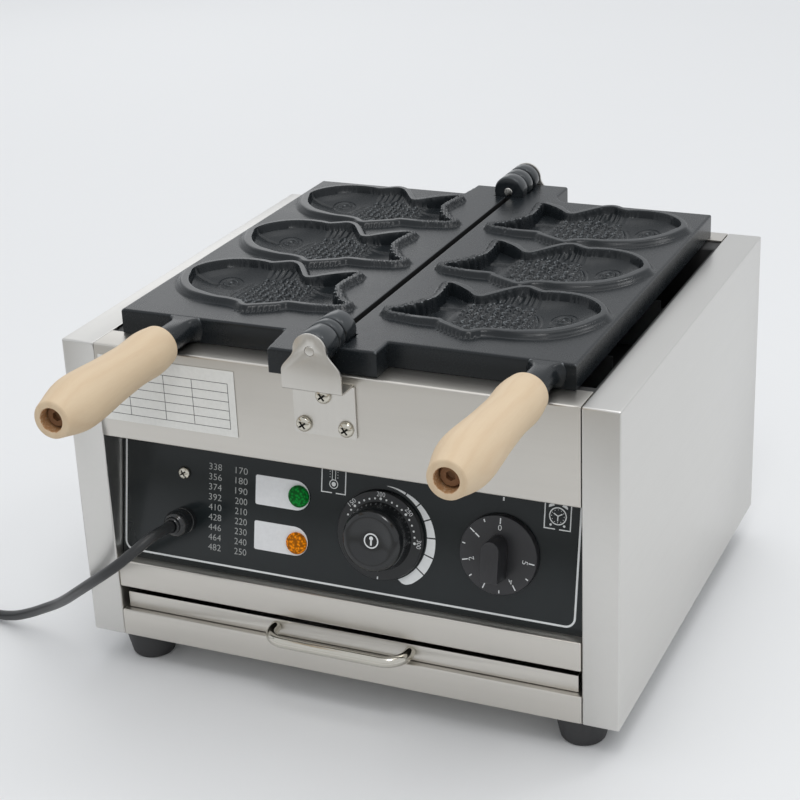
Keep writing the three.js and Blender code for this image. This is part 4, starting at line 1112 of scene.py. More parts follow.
@dataclass
class Cabinet:
    """The folded sheets, feet, label and what stands inside."""

    bend: float = 1.5
    foot_x: float = 177.5
    foot_height: float = 26.0
    foot_y: Pair = (27.0, 347.0)
    label: tuple[float, float, float, float] = (-182.1, -70.6, 183.3, 234.0)

    def sheets(self) -> None:
        """Folded stainless sheets with rounded bends."""
        for node, name, finish in (
            ("left_side_panel", "left_side_sheet", FINISHES.side_sheet),
            ("right_side_panel", "right_side_sheet", FINISHES.side_sheet),
            ("front_panel", "front_sheet", FINISHES.front_sheet),
            ("rear_panel", "rear_sheet", FINISHES.front_sheet),
            ("lower_front_rail", "lower_rail_sheet", FINISHES.front_sheet),
            ("bottom_front_rail", "bottom_rail_sheet", FINISHES.front_sheet),
        ):
            sheet = copied(node, name)
            softened_folds(sheet, self.bend)
            fitted(sheet, finish, [node], 30.0)

    def feet(self) -> None:
        """Turned rubber feet with a ring at the sole."""
        profile = [
            (0.0, 0.8), (6.0, 0.8), (6.8, 0.0), (13.4, 0.0), (15.4, 0.6), (16.4, 2.0), (17.0, 4.2),
            (21.0, 22.6), (21.9, 24.2), (21.6, 25.3), (20.8, 25.7), (3.0, 25.7), (3.0, 35.0),
            (0.0, 35.0),
        ]
        for side in Hand:
            for end, y in zip(("front", "rear"), self.foot_y):
                foot = turned(f"{end}_{side.word}_rubber_foot", profile, 48)
                moved(foot, shift(side.value * self.foot_x, y, -self.foot_height))
                fitted(foot, FINISHES.rubber, [f"foot_{end}_{side.word}"], 30.0)

    def rating_label(self) -> None:
        """A blank white film with ruled rows."""
        film = copied("rating_label", "label_film")
        bevelled(film, 0.12, 1, 50.0)
        fitted(film, FINISHES.label_film, ["rating_label"])
        left, right, bottom, top = self.label
        rules = Print("label_rules", 0.72, 0.03)
        x0, x1 = left + 5.5, right - 5.5
        z0, z1 = bottom + 6.0, top - 9.8
        rows, rule = 5, 0.42
        for i in range(rows + 1):
            z = z0 + (z1 - z0) * i / rows
            rules.line([(x0, z), (x1, z)], rule)
        for share in (0.0, 0.186, 0.478, 0.71, 1.0):
            x = x0 + (x1 - x0) * share
            rules.line([(x, z0), (x, z1)], rule)
        rules.fit(FINISHES.black_ink, TO_FRONT, "black_plastic")

    def inside(self) -> None:
        """Pan, runners, heat well, rails and blocks."""
        runners = [f"tray_runner_{hand.word}" for hand in Hand]
        rails = [f"heater_support_{end}" for end in ("front", "rear")]
        for node in ("base_pan", *runners, *rails):
            dressed(node, FINISHES.inner_sheet)
        well = copied("heat_well", "heat_well_box")
        softened_folds(well, 1.2)
        fitted(well, FINISHES.sooty_sheet, ["heat_well"], 30.0)
        for node in ("terminal_block", "thermostat_body", "timer_body"):
            blockage = copied(node, f"{node}_moulding")
            bevelled(blockage, 1.2, 3, 50.0)
            fitted(blockage, FINISHES.ivory, [node], 35.0)

    def heater_line(self, hand: Hand) -> np.ndarray:
        """The line of one heating element."""
        side = hand.value
        height, pitch, front, rear, bend, leg = 229.0, 35.0, 75.0, 300.0, 12.0, 172.0
        xs = [side * (40.5 + pitch * i) for i in range(4)]
        turn = pitch / 2
        line = [(xs[0], front - bend, leg)]
        for i in range(9):
            a = math.pi / 2 * i / 8
            line.append((xs[0], front - bend * math.cos(a), height - bend * (1 - math.sin(a))))
        for i in range(3):
            at_rear = i % 2 == 0
            middle = (xs[i] + xs[i + 1]) / 2
            y = rear - turn if at_rear else front + turn
            way = 1 if at_rear else -1
            for k in range(13):
                a = math.pi * k / 12
                x = middle - side * turn * math.cos(a)
                line.append((x, y + way * turn * math.sin(a), height))
        for i in range(9):
            a = math.pi / 2 * i / 8
            line.append((xs[3], front - bend * math.sin(a), height - bend * (1 - math.cos(a))))
        line.append((xs[3], front - bend, leg))
        return np.array(line)

    def heaters(self) -> None:
        """Bent tubular elements, smooth round their turns, and the sensing bulb."""
        for hand in Hand:
            tube = tube_along(f"{hand.word}_element", self.heater_line(hand), 4.0, 5)
            fitted(tube, FINISHES.element, [f"{hand.word}_heater"])
        bulb = copied("thermostat_bulb", "sensing_bulb")
        fitted(bulb, FINISHES.zinc, ["thermostat_bulb"], 50.0)

    def build(self) -> None:
        """Builds the cabinet."""
        self.sheets()
        self.feet()
        self.rating_label()
        self.inside()
        self.heaters()


@dataclass(frozen=True)
class CrossedScrew:
    """A pan-head screw with a crossed recess, modelled with its head towards +z."""

    head: float
    height: float
    shank: float
    depth: float = 9.0
    seat: float = 0.3

    def body(self, name: str) -> Piece:
        """The screw, its recess cut by two slots."""
        head, height, shank, seat = self.head, self.height, self.shank, self.seat
        dome = ((0.95, 0.42), (0.85, 0.64), (0.7, 0.82), (0.5, 0.93), (0.25, 0.99), (0.0, 1.0))
        profile = [
            (0.0, -self.depth), (shank * 0.6, -self.depth), (shank, -self.depth + shank * 0.8),
            (shank, seat), (head * 0.95, seat), (head, 0.5), (head, seat + height * 0.2),
        ]
        profile += [(head * across, seat + height * up) for across, up in dome]
        screw = turned(name, profile, 48)
        arm, half = head * 0.54, head * 0.12
        for angle in (35.0, 125.0):
            slot = block("slot", (-arm, -half, seat + height * 0.3), (arm, half, height + 1.0))
            cut_away(screw, moved(slot, Matrix.Rotation(math.radians(angle), 4, "Z")))
        return screw

    def recess(self, screw: Piece) -> list[int]:
        """The faces inside the recess, before the screw is moved."""
        found = []
        for face in screw.data.polygons:
            x, y, z = face.center
            deep = z > self.seat + self.height * 0.25 and math.hypot(x, y) < self.head * 0.56
            if deep and (abs(face.normal.z) < 0.2 or z < self.seat + self.height * 0.32):
                found.append(face.index)
        return found

    def fit(self, name: str, node: str, *steps: Matrix) -> None:
        """Makes a screw, moves it by matrices and dresses it, its recess painted dark as shade."""
        screw = self.body(name)
        recess = self.recess(screw)
        fitted(moved(screw, *steps), FINISHES.nickel, [node])
        # Painted shade: the faces inside the crossed recess get a near-black finish
        refinished(screw, recess, FINISHES.grime)


@dataclass
class PivotBrackets:
    """The bell-shaped brackets, their screws and the hinge pins."""

    depth: float = 374.0
    hinge_height: float = 265.2
    half_width: float = 23.75
    bottom: float = 195.6
    web_top: float = 236.5
    tab_half: float = 22.5
    shoulder: float = 254.0
    sheet: float = 1.5
    bend: float = 2.1
    fold: float = 0.6
    pin_radius: float = 3.55
    quarter: tuple[float, ...] = tuple(math.pi / 2 * i / 6 for i in range(7))
    screw: CrossedScrew = CrossedScrew(5.9, 3.7, 2.5)
    screw_places: tuple[tuple[str, float, float], ...] = (
        ("high", 0.0, 226.0),
        ("left", -16.2, 202.8),
        ("right", 16.2, 202.8),
    )

    def brackets(self) -> None:
        """Both brackets, each folded twice from one sheet."""
        for end, way, reach in (("front", -1, 19.0), ("rear", 1, 32.5)):
            side = self.side_profile(reach)
            folded = prism("folded", side, -self.half_width, self.half_width)
            moved(folded, Matrix(((0, 0, 1, 0), (1, 0, 0, 0), (0, 1, 0, 0), (0, 0, 0, 1))))
            bell = prism("bell", self.bell_outline(), -reach - 1.0, 1.0)
            moved(bell, Matrix(((1, 0, 0, 0), (0, 0, 1, 0), (0, 1, 0, 0), (0, 0, 0, 1))))
            close_up(folded)
            close_up(bell)
            modified(folded, "BOOLEAN", operation="INTERSECT", solver="EXACT", object=bell)
            bpy.data.objects.remove(bell)
            circle = arc((0.0, 0.0), self.pin_radius + 0.1, 0.0, 350.0, 35)[::-1]
            bore = prism("bore", circle, reach - 3.0, reach + 1.0)
            cut_away(folded, moved(bore, TO_FRONT, shift(0.0, 0.0, self.hinge_height)))
            bevelled(folded, 0.25, 2, 50.0)
            if way > 0:
                moved(folded, Matrix.Diagonal((1, -1, 1, 1)), shift(0, self.depth, 0))
            folded.name = f"{end}_bracket_sheet"
            node = f"{end}_pivot_bracket"
            fitted(folded, FINISHES.bracket_sheet, [node], 25.0)

    def side_profile(self, reach: float) -> Outline:
        """The Z-shaped section of a bracket as (y, z), its face towards -y."""
        thick, foot, web, top = self.sheet, self.bottom, self.web_top, self.hinge_height + 20.0
        near, far = -0.3, -reach

        def corner(y: float, z: float, radius: float, inside: bool) -> Outline:
            """A quarter round a centre, turning one way outside a fold and the other inside."""
            turns = [(math.cos(a), math.sin(a)) for a in self.quarter]
            turns = [(s, c) for c, s in turns] if inside else turns
            return [(y + radius * p, z + radius * q) for p, q in turns]

        soft, inner = self.bend, self.fold
        return [
            (near, foot), (near, web - soft),
            *corner(near - soft, web - soft, soft, False),
            *corner(far + thick + inner, web + inner, -inner, True),
            (far + thick, top), (far, top),
            *corner(far + soft, web - thick + soft, -soft, False),
            *corner(near - thick - inner, web - thick - inner, inner, True),
            (near - thick, foot),
        ]

    def bell_outline(self) -> Outline:
        """The front view of a bracket as (x, z)."""
        crown = 12.5
        half = [(self.half_width, self.bottom + 1.2), (self.half_width, self.web_top - 1.6)]
        neck = self.shoulder - crown / 2 - 1.0
        half += [(self.tab_half, self.web_top - 1.5), (self.tab_half, neck)]
        for i in range(13):
            share = i / 12
            swing = share * share * (3 - 2 * share)
            x = self.tab_half + (crown - self.tab_half) * swing
            rise = (self.hinge_height - self.shoulder) * share
            half.append((x, self.shoulder - 5.0 * (1 - share) + rise))
        turns = [math.pi * i / 28 for i in range(1, 28)]
        arch = [(crown * math.cos(a), self.hinge_height + crown * math.sin(a)) for a in turns]
        foot = [(self.half_width - 1.2, self.bottom)]
        other = [(-x, z) for x, z in reversed(foot + half)]
        return foot + half + arch + other

    def screws(self) -> None:
        """Three crossed screws to each bracket."""
        for end, turn, face in (("front", TO_FRONT, -1.8), ("rear", TO_BACK, self.depth + 1.8)):
            for word, x, z in self.screw_places:
                names = f"{end}_screw_{word}_head", f"{end}_bracket_screw_{word}"
                self.screw.fit(*names, turn, shift(x, face, z))

    def pins(self) -> None:
        """Hinge pins with rounded ends."""
        for end, first, last, finish in (
            ("front", -19.1, 31.2, FINISHES.bracket_sheet),
            ("rear", 359.3, 406.5, FINISHES.zinc),
        ):
            length = last - first
            profile = [
                (0.0, 0.0), (2.9, 0.0), (3.3, 0.12), (self.pin_radius, 0.45),
                (self.pin_radius, 1.2), (3.5, 1.3), (3.5, length - 0.9), (2.9, length - 0.25),
                (1.2, length - 0.05), (0.0, length),
            ]
            pin = turned(f"{end}_pin", profile, 40)
            moved(pin, TO_BACK, shift(0.0, first, self.hinge_height))
            fitted(pin, finish, [f"{end}_hinge_pin"], 30.0)

    def build(self) -> None:
        """Builds the brackets."""
        self.brackets()
        self.screws()
        self.pins()


class Outlined:
    """Signed distance to a closed outline, and the nearest place on it."""

    def __init__(self, outline: np.ndarray) -> None:
        """Keeps the outline's stretches."""
        self.start = outline
        self.step = np.roll(outline, -1, axis=0) - outline
        self.square = np.maximum((self.step**2).sum(1), 1e-12)

    def measure(self, points: np.ndarray) -> tuple[np.ndarray, np.ndarray]:
        """Distances, positive outside, and nearest places.

        Args:
            points: One (x, y) row for each point.

        Returns:
            The signed distances and the nearest places.
        """
        distance = np.empty(len(points))
        nearest = np.empty_like(points)
        for first in range(0, len(points), 4000):
            p = points[first : first + 4000]
            away = p[:, None] - self.start
            share = np.clip((away * self.step).sum(2) / self.square, 0.0, 1.0)
            place = self.start + share[..., None] * self.step
            gap = ((p[:, None] - place) ** 2).sum(2)
            best = gap.argmin(1)
            rows = np.arange(len(p))
            end = self.start + self.step
            above = (self.start[:, 1] > p[:, None, 1]) != (end[:, 1] > p[:, None, 1])
            slope = self.step[:, 0] / np.where(self.step[:, 1] == 0, 1e-9, self.step[:, 1])
            cross = self.start[:, 0] + (p[:, None, 1] - self.start[:, 1]) * slope
            inside = (above & (p[:, None, 0] < cross)).sum(1) % 2 == 1
            distance[first : first + 4000] = np.sqrt(gap[rows, best]) * np.where(inside, -1, 1)
            nearest[first : first + 4000] = place[rows, best]
        return distance, nearest


def ramped(value: np.ndarray, low: float, high: float) -> np.ndarray:
    """Smooth step from 0 at low to 1 at high."""
    t = np.clip((value - low) / (high - low), 0.0, 1.0)
    return t * t * (3 - 2 * t)


def ridge(value: np.ndarray, width: float) -> np.ndarray:
    """A rounded ridge where the value is zero."""
    return np.exp(-((value / width) ** 2))


@dataclass
class FishMould:
    """The relief of one fish cavity, in millimetres from its tail's end and its middle line.

    Its reach is how far it goes to the tail, to the nose and aside. The bowl and the tail's trough
    are each given as the drop at the wall, the further drop and the distance over which that comes.
    """

    tail_x: float = 17.0
    reach: Triple = (-12.0, 157.0, 58.0)
    length: float = 145.0
    width: float = 93.0
    eye: Pair = (116.5, 17.5)
    middle_y: float = 200.0
    pitch: float = 101.3
    rim_height: float = 4.2
    rim_flat: float = 3.4
    wall: float = 1.3
    column: float = 5.9
    row: float = 5.3
    scale_height: float = 2.3
    bowl: Triple = (5.4, 9.8, 17.0)
    trough: Triple = (9.3, 0.6, 3.0)
    deepest: float = 14.9
    flute_pitch: float = 5.0
    flute_height: float = 0.6
    gill: Pair = (72.0, 2.0)
    gill_radius: float = 28.5
    lip_folds: tuple[Pair, ...] = ((2.7, 0.55), (4.5, 0.5), (6.3, 0.4))
    shares: tuple[Point, ...] = (
        (1.0, 0.129), (0.979, 0.247), (0.931, 0.344), (0.862, 0.419), (0.779, 0.452),
        (0.69, 0.446), (0.641, 0.43), (0.593, 0.462), (0.545, 0.5), (0.503, 0.473),
        (0.462, 0.398), (0.421, 0.301), (0.372, 0.204), (0.338, 0.204), (0.276, 0.29),
        (0.214, 0.366), (0.145, 0.419), (0.148, 0.323), (0.159, 0.204), (0.159, 0.086),
        (0.134, 0.0), (0.11, -0.075), (0.076, -0.151), (0.034, -0.215), (0.0, -0.269),
        (0.062, -0.306), (0.172, -0.339), (0.297, -0.344), (0.331, -0.387), (0.379, -0.43),
        (0.434, -0.473), (0.476, -0.5), (0.524, -0.441), (0.593, -0.409), (0.676, -0.398),
        (0.759, -0.355), (0.834, -0.301), (0.897, -0.215), (0.945, -0.108), (0.979, 0.022),
    )

    def outline(self) -> np.ndarray:
        """The cavity's upper edge, smooth but for a wavy tail end."""
        points = np.array(self.shares) * (self.length, self.width)
        line = smooth_line(points, 12, closed=True)
        along, across = line[:, 0], line[:, 1]
        end = ramped(-along, -26.0, -14.0) * ramped(across, -38.0, -30.0)
        end *= ramped(-across, -42.0, -37.0)
        wave = 1.5 * np.sin(across * 0.95) + np.sin(across * 2.1 + 1.0)
        wave += 0.4 * np.sin(across * 4.3)
        line[:, 0] = along + end * wave
        return line

    def scales(self, along: np.ndarray, across: np.ndarray) -> np.ndarray:
        """Staggered columns of bold crescents, bulging towards the tail."""
        column = (along + 0.5 * np.sin(0.55 * across + 0.09 * along)) / self.column
        index = np.floor(column)
        row = across / self.row + 0.5 * (index % 2)
        u = (column - index - 0.5) * self.column
        v = (row - np.floor(row) - 0.5) * self.row
        odd = np.sin(index * 12.9898 + np.floor(row) * 78.233) * 43758.5453
        odd = odd - np.floor(odd)
        radius = np.hypot(u, v)
        crescent = ridge(radius - 1.8, 1.0) * ramped(-u, -1.9, 0.2)
        return crescent * (0.55 + 0.8 * odd)

    def flat(self, a: np.ndarray, b: np.ndarray) -> np.ndarray:
        """Width of the rim's flat crown: broad round the near side of the nose and at the neck."""
        nose = ramped(a, 96.0, 124.0) * ramped(-b, -22.0, 2.0)
        neck = ridge(a - 38.0, 7.0) * ramped(b, 6.0, 14.0)
        return self.rim_flat + 1.8 * nose + 1.4 * neck

    def floor(self, a: np.ndarray, b: np.ndarray, inward: np.ndarray) -> np.ndarray:
        """Depth of the cavity below the rim, its relief included."""
        body = ramped(a, 36.0, 50.0)
        share = np.clip(inward / self.wall, 0.0, 1.0)
        bowl, trough = (
            drop * share + further * (1.0 - np.exp(-inward / over))
            for drop, further, over in (self.bowl, self.trough)
        )
        depth = body * bowl + (1 - body) * trough
        flutes = ramped(b, 16.0, 24.0) * ramped(a, 44.0, 50.0) * (1 - ramped(a, 86.0, 98.0))
        wave = np.sin(a * 2 * math.pi / self.flute_pitch + 0.8 * np.sin(a * 0.37))
        flutes *= wave * ramped(inward, 0.3, 1.6) * (1 - ramped(inward, 7.0, 11.0))
        depth += self.flute_height * flutes
        scaled = ramped(a + 1.3 * np.cos(b * 1.25), 42.5, 45.5) * ramped(inward, 2.2, 4.0)
        scaled *= 1 - ramped(a + 0.008 * (b - 2.0) ** 2, 94.0, 99.0)
        scaled *= 1 - ramped(b + 0.004 * (a - 84.0) ** 2, 27.5, 30.0)
        depth -= self.scale_height * self.scales(a, b) * scaled
        gill = np.hypot(a - self.gill[0], b - self.gill[1]) - self.gill_radius
        sweep = ramped(a, 86.0, 92.0) * (1 - ramped(np.abs(b - self.gill[1]), 15.0, 22.0))
        depth -= (1.3 * ridge(gill, 1.0) + 0.6 * ridge(gill - 4.0, 0.9)) * sweep
        eye = np.hypot(a - self.eye[0], b - self.eye[1])
        depth -= 1.5 * ridge(eye - 4.9, 1.0) + 2.2 * ridge(eye, 2.0) + 0.8 * ridge(eye - 8.2, 1.0)
        lip = ramped(a, 125.0, 132.0)
        for place, high in self.lip_folds:
            depth -= high * ridge(inward - place, 0.55) * lip
        mouth = ridge(b - 13.5 + 0.08 * (145.0 - a), 0.9) * ramped(a, 124.0, 127.0)
        depth += 0.9 * mouth * ramped(inward, 1.5, 3.0)
        tail = 1 - ramped(a, 34.0, 46.0)
        depth += 1.3 * (1 - ramped(b - 0.2 * (a - 40.0), 13.6, 14.6)) * tail * share
        return np.minimum(depth, self.deepest * np.maximum(share, 1e-3))

    def outside(self, a: np.ndarray, b: np.ndarray, d: np.ndarray) -> np.ndarray:
        """Height of the rim above the plate outside the cavity."""
        nose = ramped(a, 92.0, 128.0) * ramped(-b, -30.0, -8.0)
        flat = self.flat(a, b)
        reach = 3.4 + 3.0 * nose
        fall = ramped(d, flat, flat + reach)
        height = self.rim_height * (1 - fall)
        slope = ramped(d, flat, flat + 0.8) * (1 - ramped(d, flat + reach - 1.2, flat + reach))
        height -= 0.5 * nose * slope * (0.5 + 0.5 * np.cos((d - flat) * 2 * math.pi / 2.6))
        belly = ramped(a, 42.0, 47.0) * (1 - ramped(a, 74.0, 80.0)) * (b < 0)
        low = ramped(d, flat + 1.0, flat + 2.2) * (1 - ramped(d, flat + 4.0, flat + 5.5))
        height += 0.55 * belly * low * np.sin(a * 2 * math.pi / 3.6)
        tail = 1 - ramped(a, 16.0, 28.0)
        lumps = np.sin(a * 2.1 + b * 0.8) * np.sin(b * 1.9 - a * 0.5)
        height += tail * (0.8 * lumps * slope + 0.45 * (lumps - 0.6) * (1 - fall))
        return np.minimum(height, self.rim_height)

    def height(self, a: np.ndarray, b: np.ndarray, d: np.ndarray) -> np.ndarray:
        """Height of the whole relief above the plate's flat top."""
        inner = self.rim_height - self.floor(a, b, np.maximum(-d, 0.0))
        return np.where(d < 0, inner, self.outside(a, b, d))


@dataclass
class MouldPlate:
    """One cast plate with its three fish, knuckles, grip boss, grip and bolt."""

    hand: Hand
    bottom: float = 242.3
    top: float = 260.7
    hinge_height: float = 265.2
    knuckle_radius: float = 12.8
    pocket_radius: float = 13.3
    cell: float = 0.72
    snap: float = 0.33
    inner_x: float = 2.6
    groove: float = 0.4
    outer_x: float = 174.0
    front: float = 24.3
    rear: float = 361.3
    boss_height: float = 252.4
    bore: float = 3.55
    grip_start: float = -13.3
    grip_length: float = 136.4
    knuckles: tuple[tuple[int, float, float], ...] = (
        (-1, -17.0, 3.0), (1, 3.6, 13.4), (-1, 14.0, 31.0), (1, 360.0, 374.0), (-1, 374.6, 387.4),
        (1, 390.0, 403.0),
    )

    @property
    def boss_x(self) -> float:
        """Where the grip's boss is, across."""
        return -121.0 if self.hand is Hand.LEFT else 153.0

    @property
    def body(self) -> str:
        """The CAD body of this plate."""
        return f"{self.hand.word}_mould"

    def plan(self) -> np.ndarray:
        """The plate's outline with its tongues, as if on the right."""
        if self.hand is Hand.LEFT:
            corners = [
                (self.inner_x, -11.0), (36.5, -11.0), (40.6, self.front),
                (self.outer_x, self.front), (self.outer_x, self.rear),
                (40.6, self.rear), (37.7, 386.8), (self.inner_x, 386.8),
            ]
        else:
            corners = [
                (self.inner_x, 3.3), (39.0, 3.3), (39.0, self.front),
                (self.outer_x, self.front), (self.outer_x, self.rear),
                (47.0, self.rear), (38.0, 376.0), (38.0, 402.0), (self.inner_x, 402.0),
            ]
        return np.array(corners)

    def lines(self) -> tuple[np.ndarray, np.ndarray]:
        """Grid lines across and along the plate, closer where there is relief."""
        plan = self.plan()
        edge = np.array([0.0, 0.3, 0.8, 1.5])
        across = [
            self.inner_x + edge,
            np.arange(self.inner_x + 2.6, 9.0, 1.5),
            np.arange(9.6, 60.0, 0.92),
            np.arange(60.3, 117.0, 0.61),
            np.arange(117.6, 168.5, 0.92),
            np.arange(169.5, 172.0, 1.2),
            self.outer_x - edge,
        ]
        marks = sorted({y for _, y in plan})
        along = [np.arange(34.5, 352.0, self.cell)]
        for mark in marks:
            along += [mark + edge, mark - edge]
        for owner, start, end in self.knuckles:
            if owner != self.hand.value:
                along += [np.array([start - 0.4, start - 0.3, end + 0.3, end + 0.4])]
        along += [np.arange(marks[0], 34.5, 2.2), np.arange(352.0, marks[-1], 2.2)]
        lines = []
        spans = ((across, self.inner_x, self.outer_x), (along, marks[0], marks[-1]))
        for parts, low, high in spans:
            values = np.unique(np.round(np.concatenate(parts), 3))
            values = values[(values >= low) & (values <= high)]
            keep = [values[0]]
            for value in values[1:]:
                if value - keep[-1] > 0.09:
                    keep.append(value)
            if high - keep[-1] < 0.09:
                keep[-1] = high
            lines.append(np.array(keep))
        return lines[0], lines[1]

    def heights(self, points: np.ndarray, fish: FishMould) -> tuple[np.ndarray, np.ndarray]:
        """Shapes the top face.

        Args:
            points: The grid's points as if on the right.
            fish: The relief.

        Returns:
            The points, drawn onto the relief's edges, and their heights.
        """
        z = np.full(len(points), self.top)
        shape = Outlined(fish.outline())
        for row in (-1, 0, 1):
            origin = (fish.tail_x, fish.middle_y + fish.pitch * row)
            local = points - origin
            first, last, aside = fish.reach
            near = (local[:, 0] > first) & (local[:, 0] < last) & (np.abs(local[:, 1]) < aside)
            d, nearest = shape.measure(local[near])
            places = local[near]
            outward = places - nearest
            outward /= np.maximum(np.abs(d), 1e-9)[:, None]
            outward *= np.sign(d)[:, None]
            flat = fish.flat(nearest[:, 0], nearest[:, 1])
            for contour in (0.0 * flat, 0.0 * flat - fish.wall, flat):
                drawn = np.abs(d - contour) < self.snap
                places[drawn] = nearest[drawn] + outward[drawn] * contour[drawn][:, None]
                d[drawn] = contour[drawn]
            inner = places[:, 0] + fish.tail_x > self.inner_x + 1.6
            points[np.flatnonzero(near)[inner]] = places[inner] + origin
            raised = self.top + fish.height(places[:, 0], places[:, 1], d)
            mine = d < 14.0
            target = np.flatnonzero(near)[mine]
            flat = np.abs(z[target] - self.top) < 1e-6
            higher = np.maximum(z[target], raised[mine])
            z[target] = np.where(flat | (raised[mine] < self.top - 1), raised[mine], higher)
        for owner, start, end in self.knuckles:
            if owner == self.hand.value:
                continue
            pocket = (points[:, 1] > start - 0.35) & (points[:, 1] < end + 0.35)
            pocket &= points[:, 0] < self.pocket_radius
            fall = np.sqrt(np.maximum(self.pocket_radius**2 - points[:, 0] ** 2, 0.0))
            z = np.where(pocket, np.minimum(z, self.hinge_height - fall), z)
        return points, z

    def casting(self) -> Piece:
        """The plate's slab, its top shaped as relief and its sides drawn down and closed."""
        xs, ys = self.lines()
        cells = {"x_subdivisions": len(xs) - 1, "y_subdivisions": len(ys) - 1}
        piece = primitive("plate", "grid", size=2.0, **cells)
        points = self.grid_points(piece, xs, ys)
        plan = Outlined(self.plan())
        with editing(piece, "FACE") as mesh:
            corners = [[points[v.index] for v in face.verts] for face in mesh.faces]
            middles = np.array([np.mean(four, axis=0) for four in corners])
            outside = plan.measure(middles)[0] > 0
            for face, out in zip(mesh.faces, outside):
                face.select = bool(out)
            bmesh.update_edit_mesh(piece.data)
            bpy.ops.mesh.delete(type="FACE")
        points = self.grid_points(piece, xs, ys)
        border = self.border(piece)
        points[border] = plan.measure(points)[1][border]
        points, z = self.heights(points, FishMould())
        distance = -plan.measure(points)[0]
        radius = np.where(points[:, 0] < self.inner_x + 2.0, 0.5, 1.5)
        short = np.clip(radius - distance, 0.0, radius)
        rounded = radius - np.sqrt(np.maximum(radius**2 - short**2, 0.0))
        z = np.where(z > self.top - 0.5, z - rounded, z)
        side = self.hand.value
        for vertex, (x, y), height in zip(piece.data.vertices, points, z):
            vertex.co = (side * x, y, height)
        if side < 0:
            piece.data.flip_normals()
        with editing(piece, "EDGE") as mesh:
            for edge in mesh.edges:
                edge.select = edge.is_boundary
            bmesh.update_edit_mesh(piece.data)
            for _ in range(2):
                bpy.ops.mesh.extrude_region_move(TRANSFORM_OT_translate={"value": (0.0, 0.0, -1.0)})
            for vertex in bmesh.from_edit_mesh(piece.data).verts:
                if vertex.select:
                    vertex.co.z = self.bottom
            bmesh.update_edit_mesh(piece.data)
            bpy.ops.mesh.edge_face_add()
        facing_out(piece)
        return piece

    @staticmethod
    def grid_points(piece: Piece, xs: np.ndarray, ys: np.ndarray) -> np.ndarray:
        """Where each point of the unit grid belongs, by its column and row."""
        unit = np.array([v.co for v in piece.data.vertices])
        column = np.rint((unit[:, 0] + 1) / 2 * (len(xs) - 1)).astype(int)
        row = np.rint((unit[:, 1] + 1) / 2 * (len(ys) - 1)).astype(int)
        return np.stack([xs[column], ys[row]], 1)

    @staticmethod
    def border(piece: Piece) -> np.ndarray:
        """The points of the edges that only one face uses."""
        uses = Counter(key for polygon in piece.data.polygons for key in polygon.edge_keys)
        return np.unique([key for key, count in uses.items() if count == 1])

    def knuckle(self, start: float, end: float) -> Piece:
        """One hinge knuckle, turned along y with its bore and softened rims."""
        start, length = start + self.groove, end - start - 2 * self.groove
        bore, radius, soft = self.bore, self.knuckle_radius, 1.6
        profile = [
            (bore, 0.0), (radius - soft, 0.0), (radius - soft * 0.3, soft * 0.3), (radius, soft),
            (radius, length - soft), (radius - soft * 0.3, length - soft * 0.3),
            (radius - soft, length), (bore, length), (bore, 0.0),
        ]
        piece = turned("knuckle", profile, 64)
        return moved(piece, TO_BACK, shift(0.0, start, self.hinge_height))

    def boss(self) -> Piece:
        """The round boss that the grip's bolt screws into, flared where it leaves the plate."""
        profile = [
            (0.0, 0.0), (9.0, 0.0), (9.6, 0.5), (9.9, 1.5), (9.9, 28.0), (10.1, 30.4), (10.7, 32.6),
            (11.8, 34.6), (13.4, 36.4), (14.4, 37.6), (14.4, 44.0), (0.0, 44.0),
        ]
        piece = turned("boss", profile, 48)
        moved(piece, TO_BACK, shift(self.boss_x, self.grip_start + 0.3, self.boss_height))
        for vertex in piece.data.vertices:
            level = self.top - 0.15 + 0.14 * max(0.0, self.front - 8.0 - vertex.co.y)
            vertex.co.z = max(min(vertex.co.z, level), self.bottom + 0.2)
        return piece

    def grip(self) -> None:
        """Turned wooden grip with its counterbored end."""
        shares = [
            (0, 0.785), (0.034, 0.815), (0.08, 0.855), (0.14, 0.875), (0.2, 0.855), (0.28, 0.83),
            (0.378, 0.85), (0.513, 0.895), (0.635, 0.96), (0.748, 1.0), (0.818, 0.975),
            (0.882, 0.885), (0.936, 0.785), (0.979, 0.71), (1, 0.67),
        ]
        length, radius = self.grip_length, 19.3
        line = smooth_line([(length * s, radius * r) for s, r in shares], 5)
        outside = [(r, s) for s, r in line]
        outside[0] = (outside[0][0] - 0.7, 0.0)
        outside[-1] = (outside[-1][0] - 1.2, length)
        outside[-2] = (outside[-2][0] - 0.25, length - 0.5)
        profile = [
            (4.5, 0.0),
            *outside,
            (8.8, length), (8.3, length - 0.5), (8.2, length - 12.0), (4.5, length - 12.0),
            (4.5, 0.0),
        ]
        grip = turned(f"{self.hand.word}_wooden_grip", profile, 72)
        moved(grip, TO_FRONT, shift(self.boss_x, self.grip_start, self.boss_height))
        axis = METRES @ Vector((self.boss_x, 0.0, self.boss_height))
        heart = (axis.x - 0.031 * self.hand.value, axis.z + 0.022)
        finish = FINISHES.wood(self.hand, (axis.x, axis.z), heart)
        fitted(grip, finish, [f"{self.hand.word}_grip"], 38.0, body=self.body)

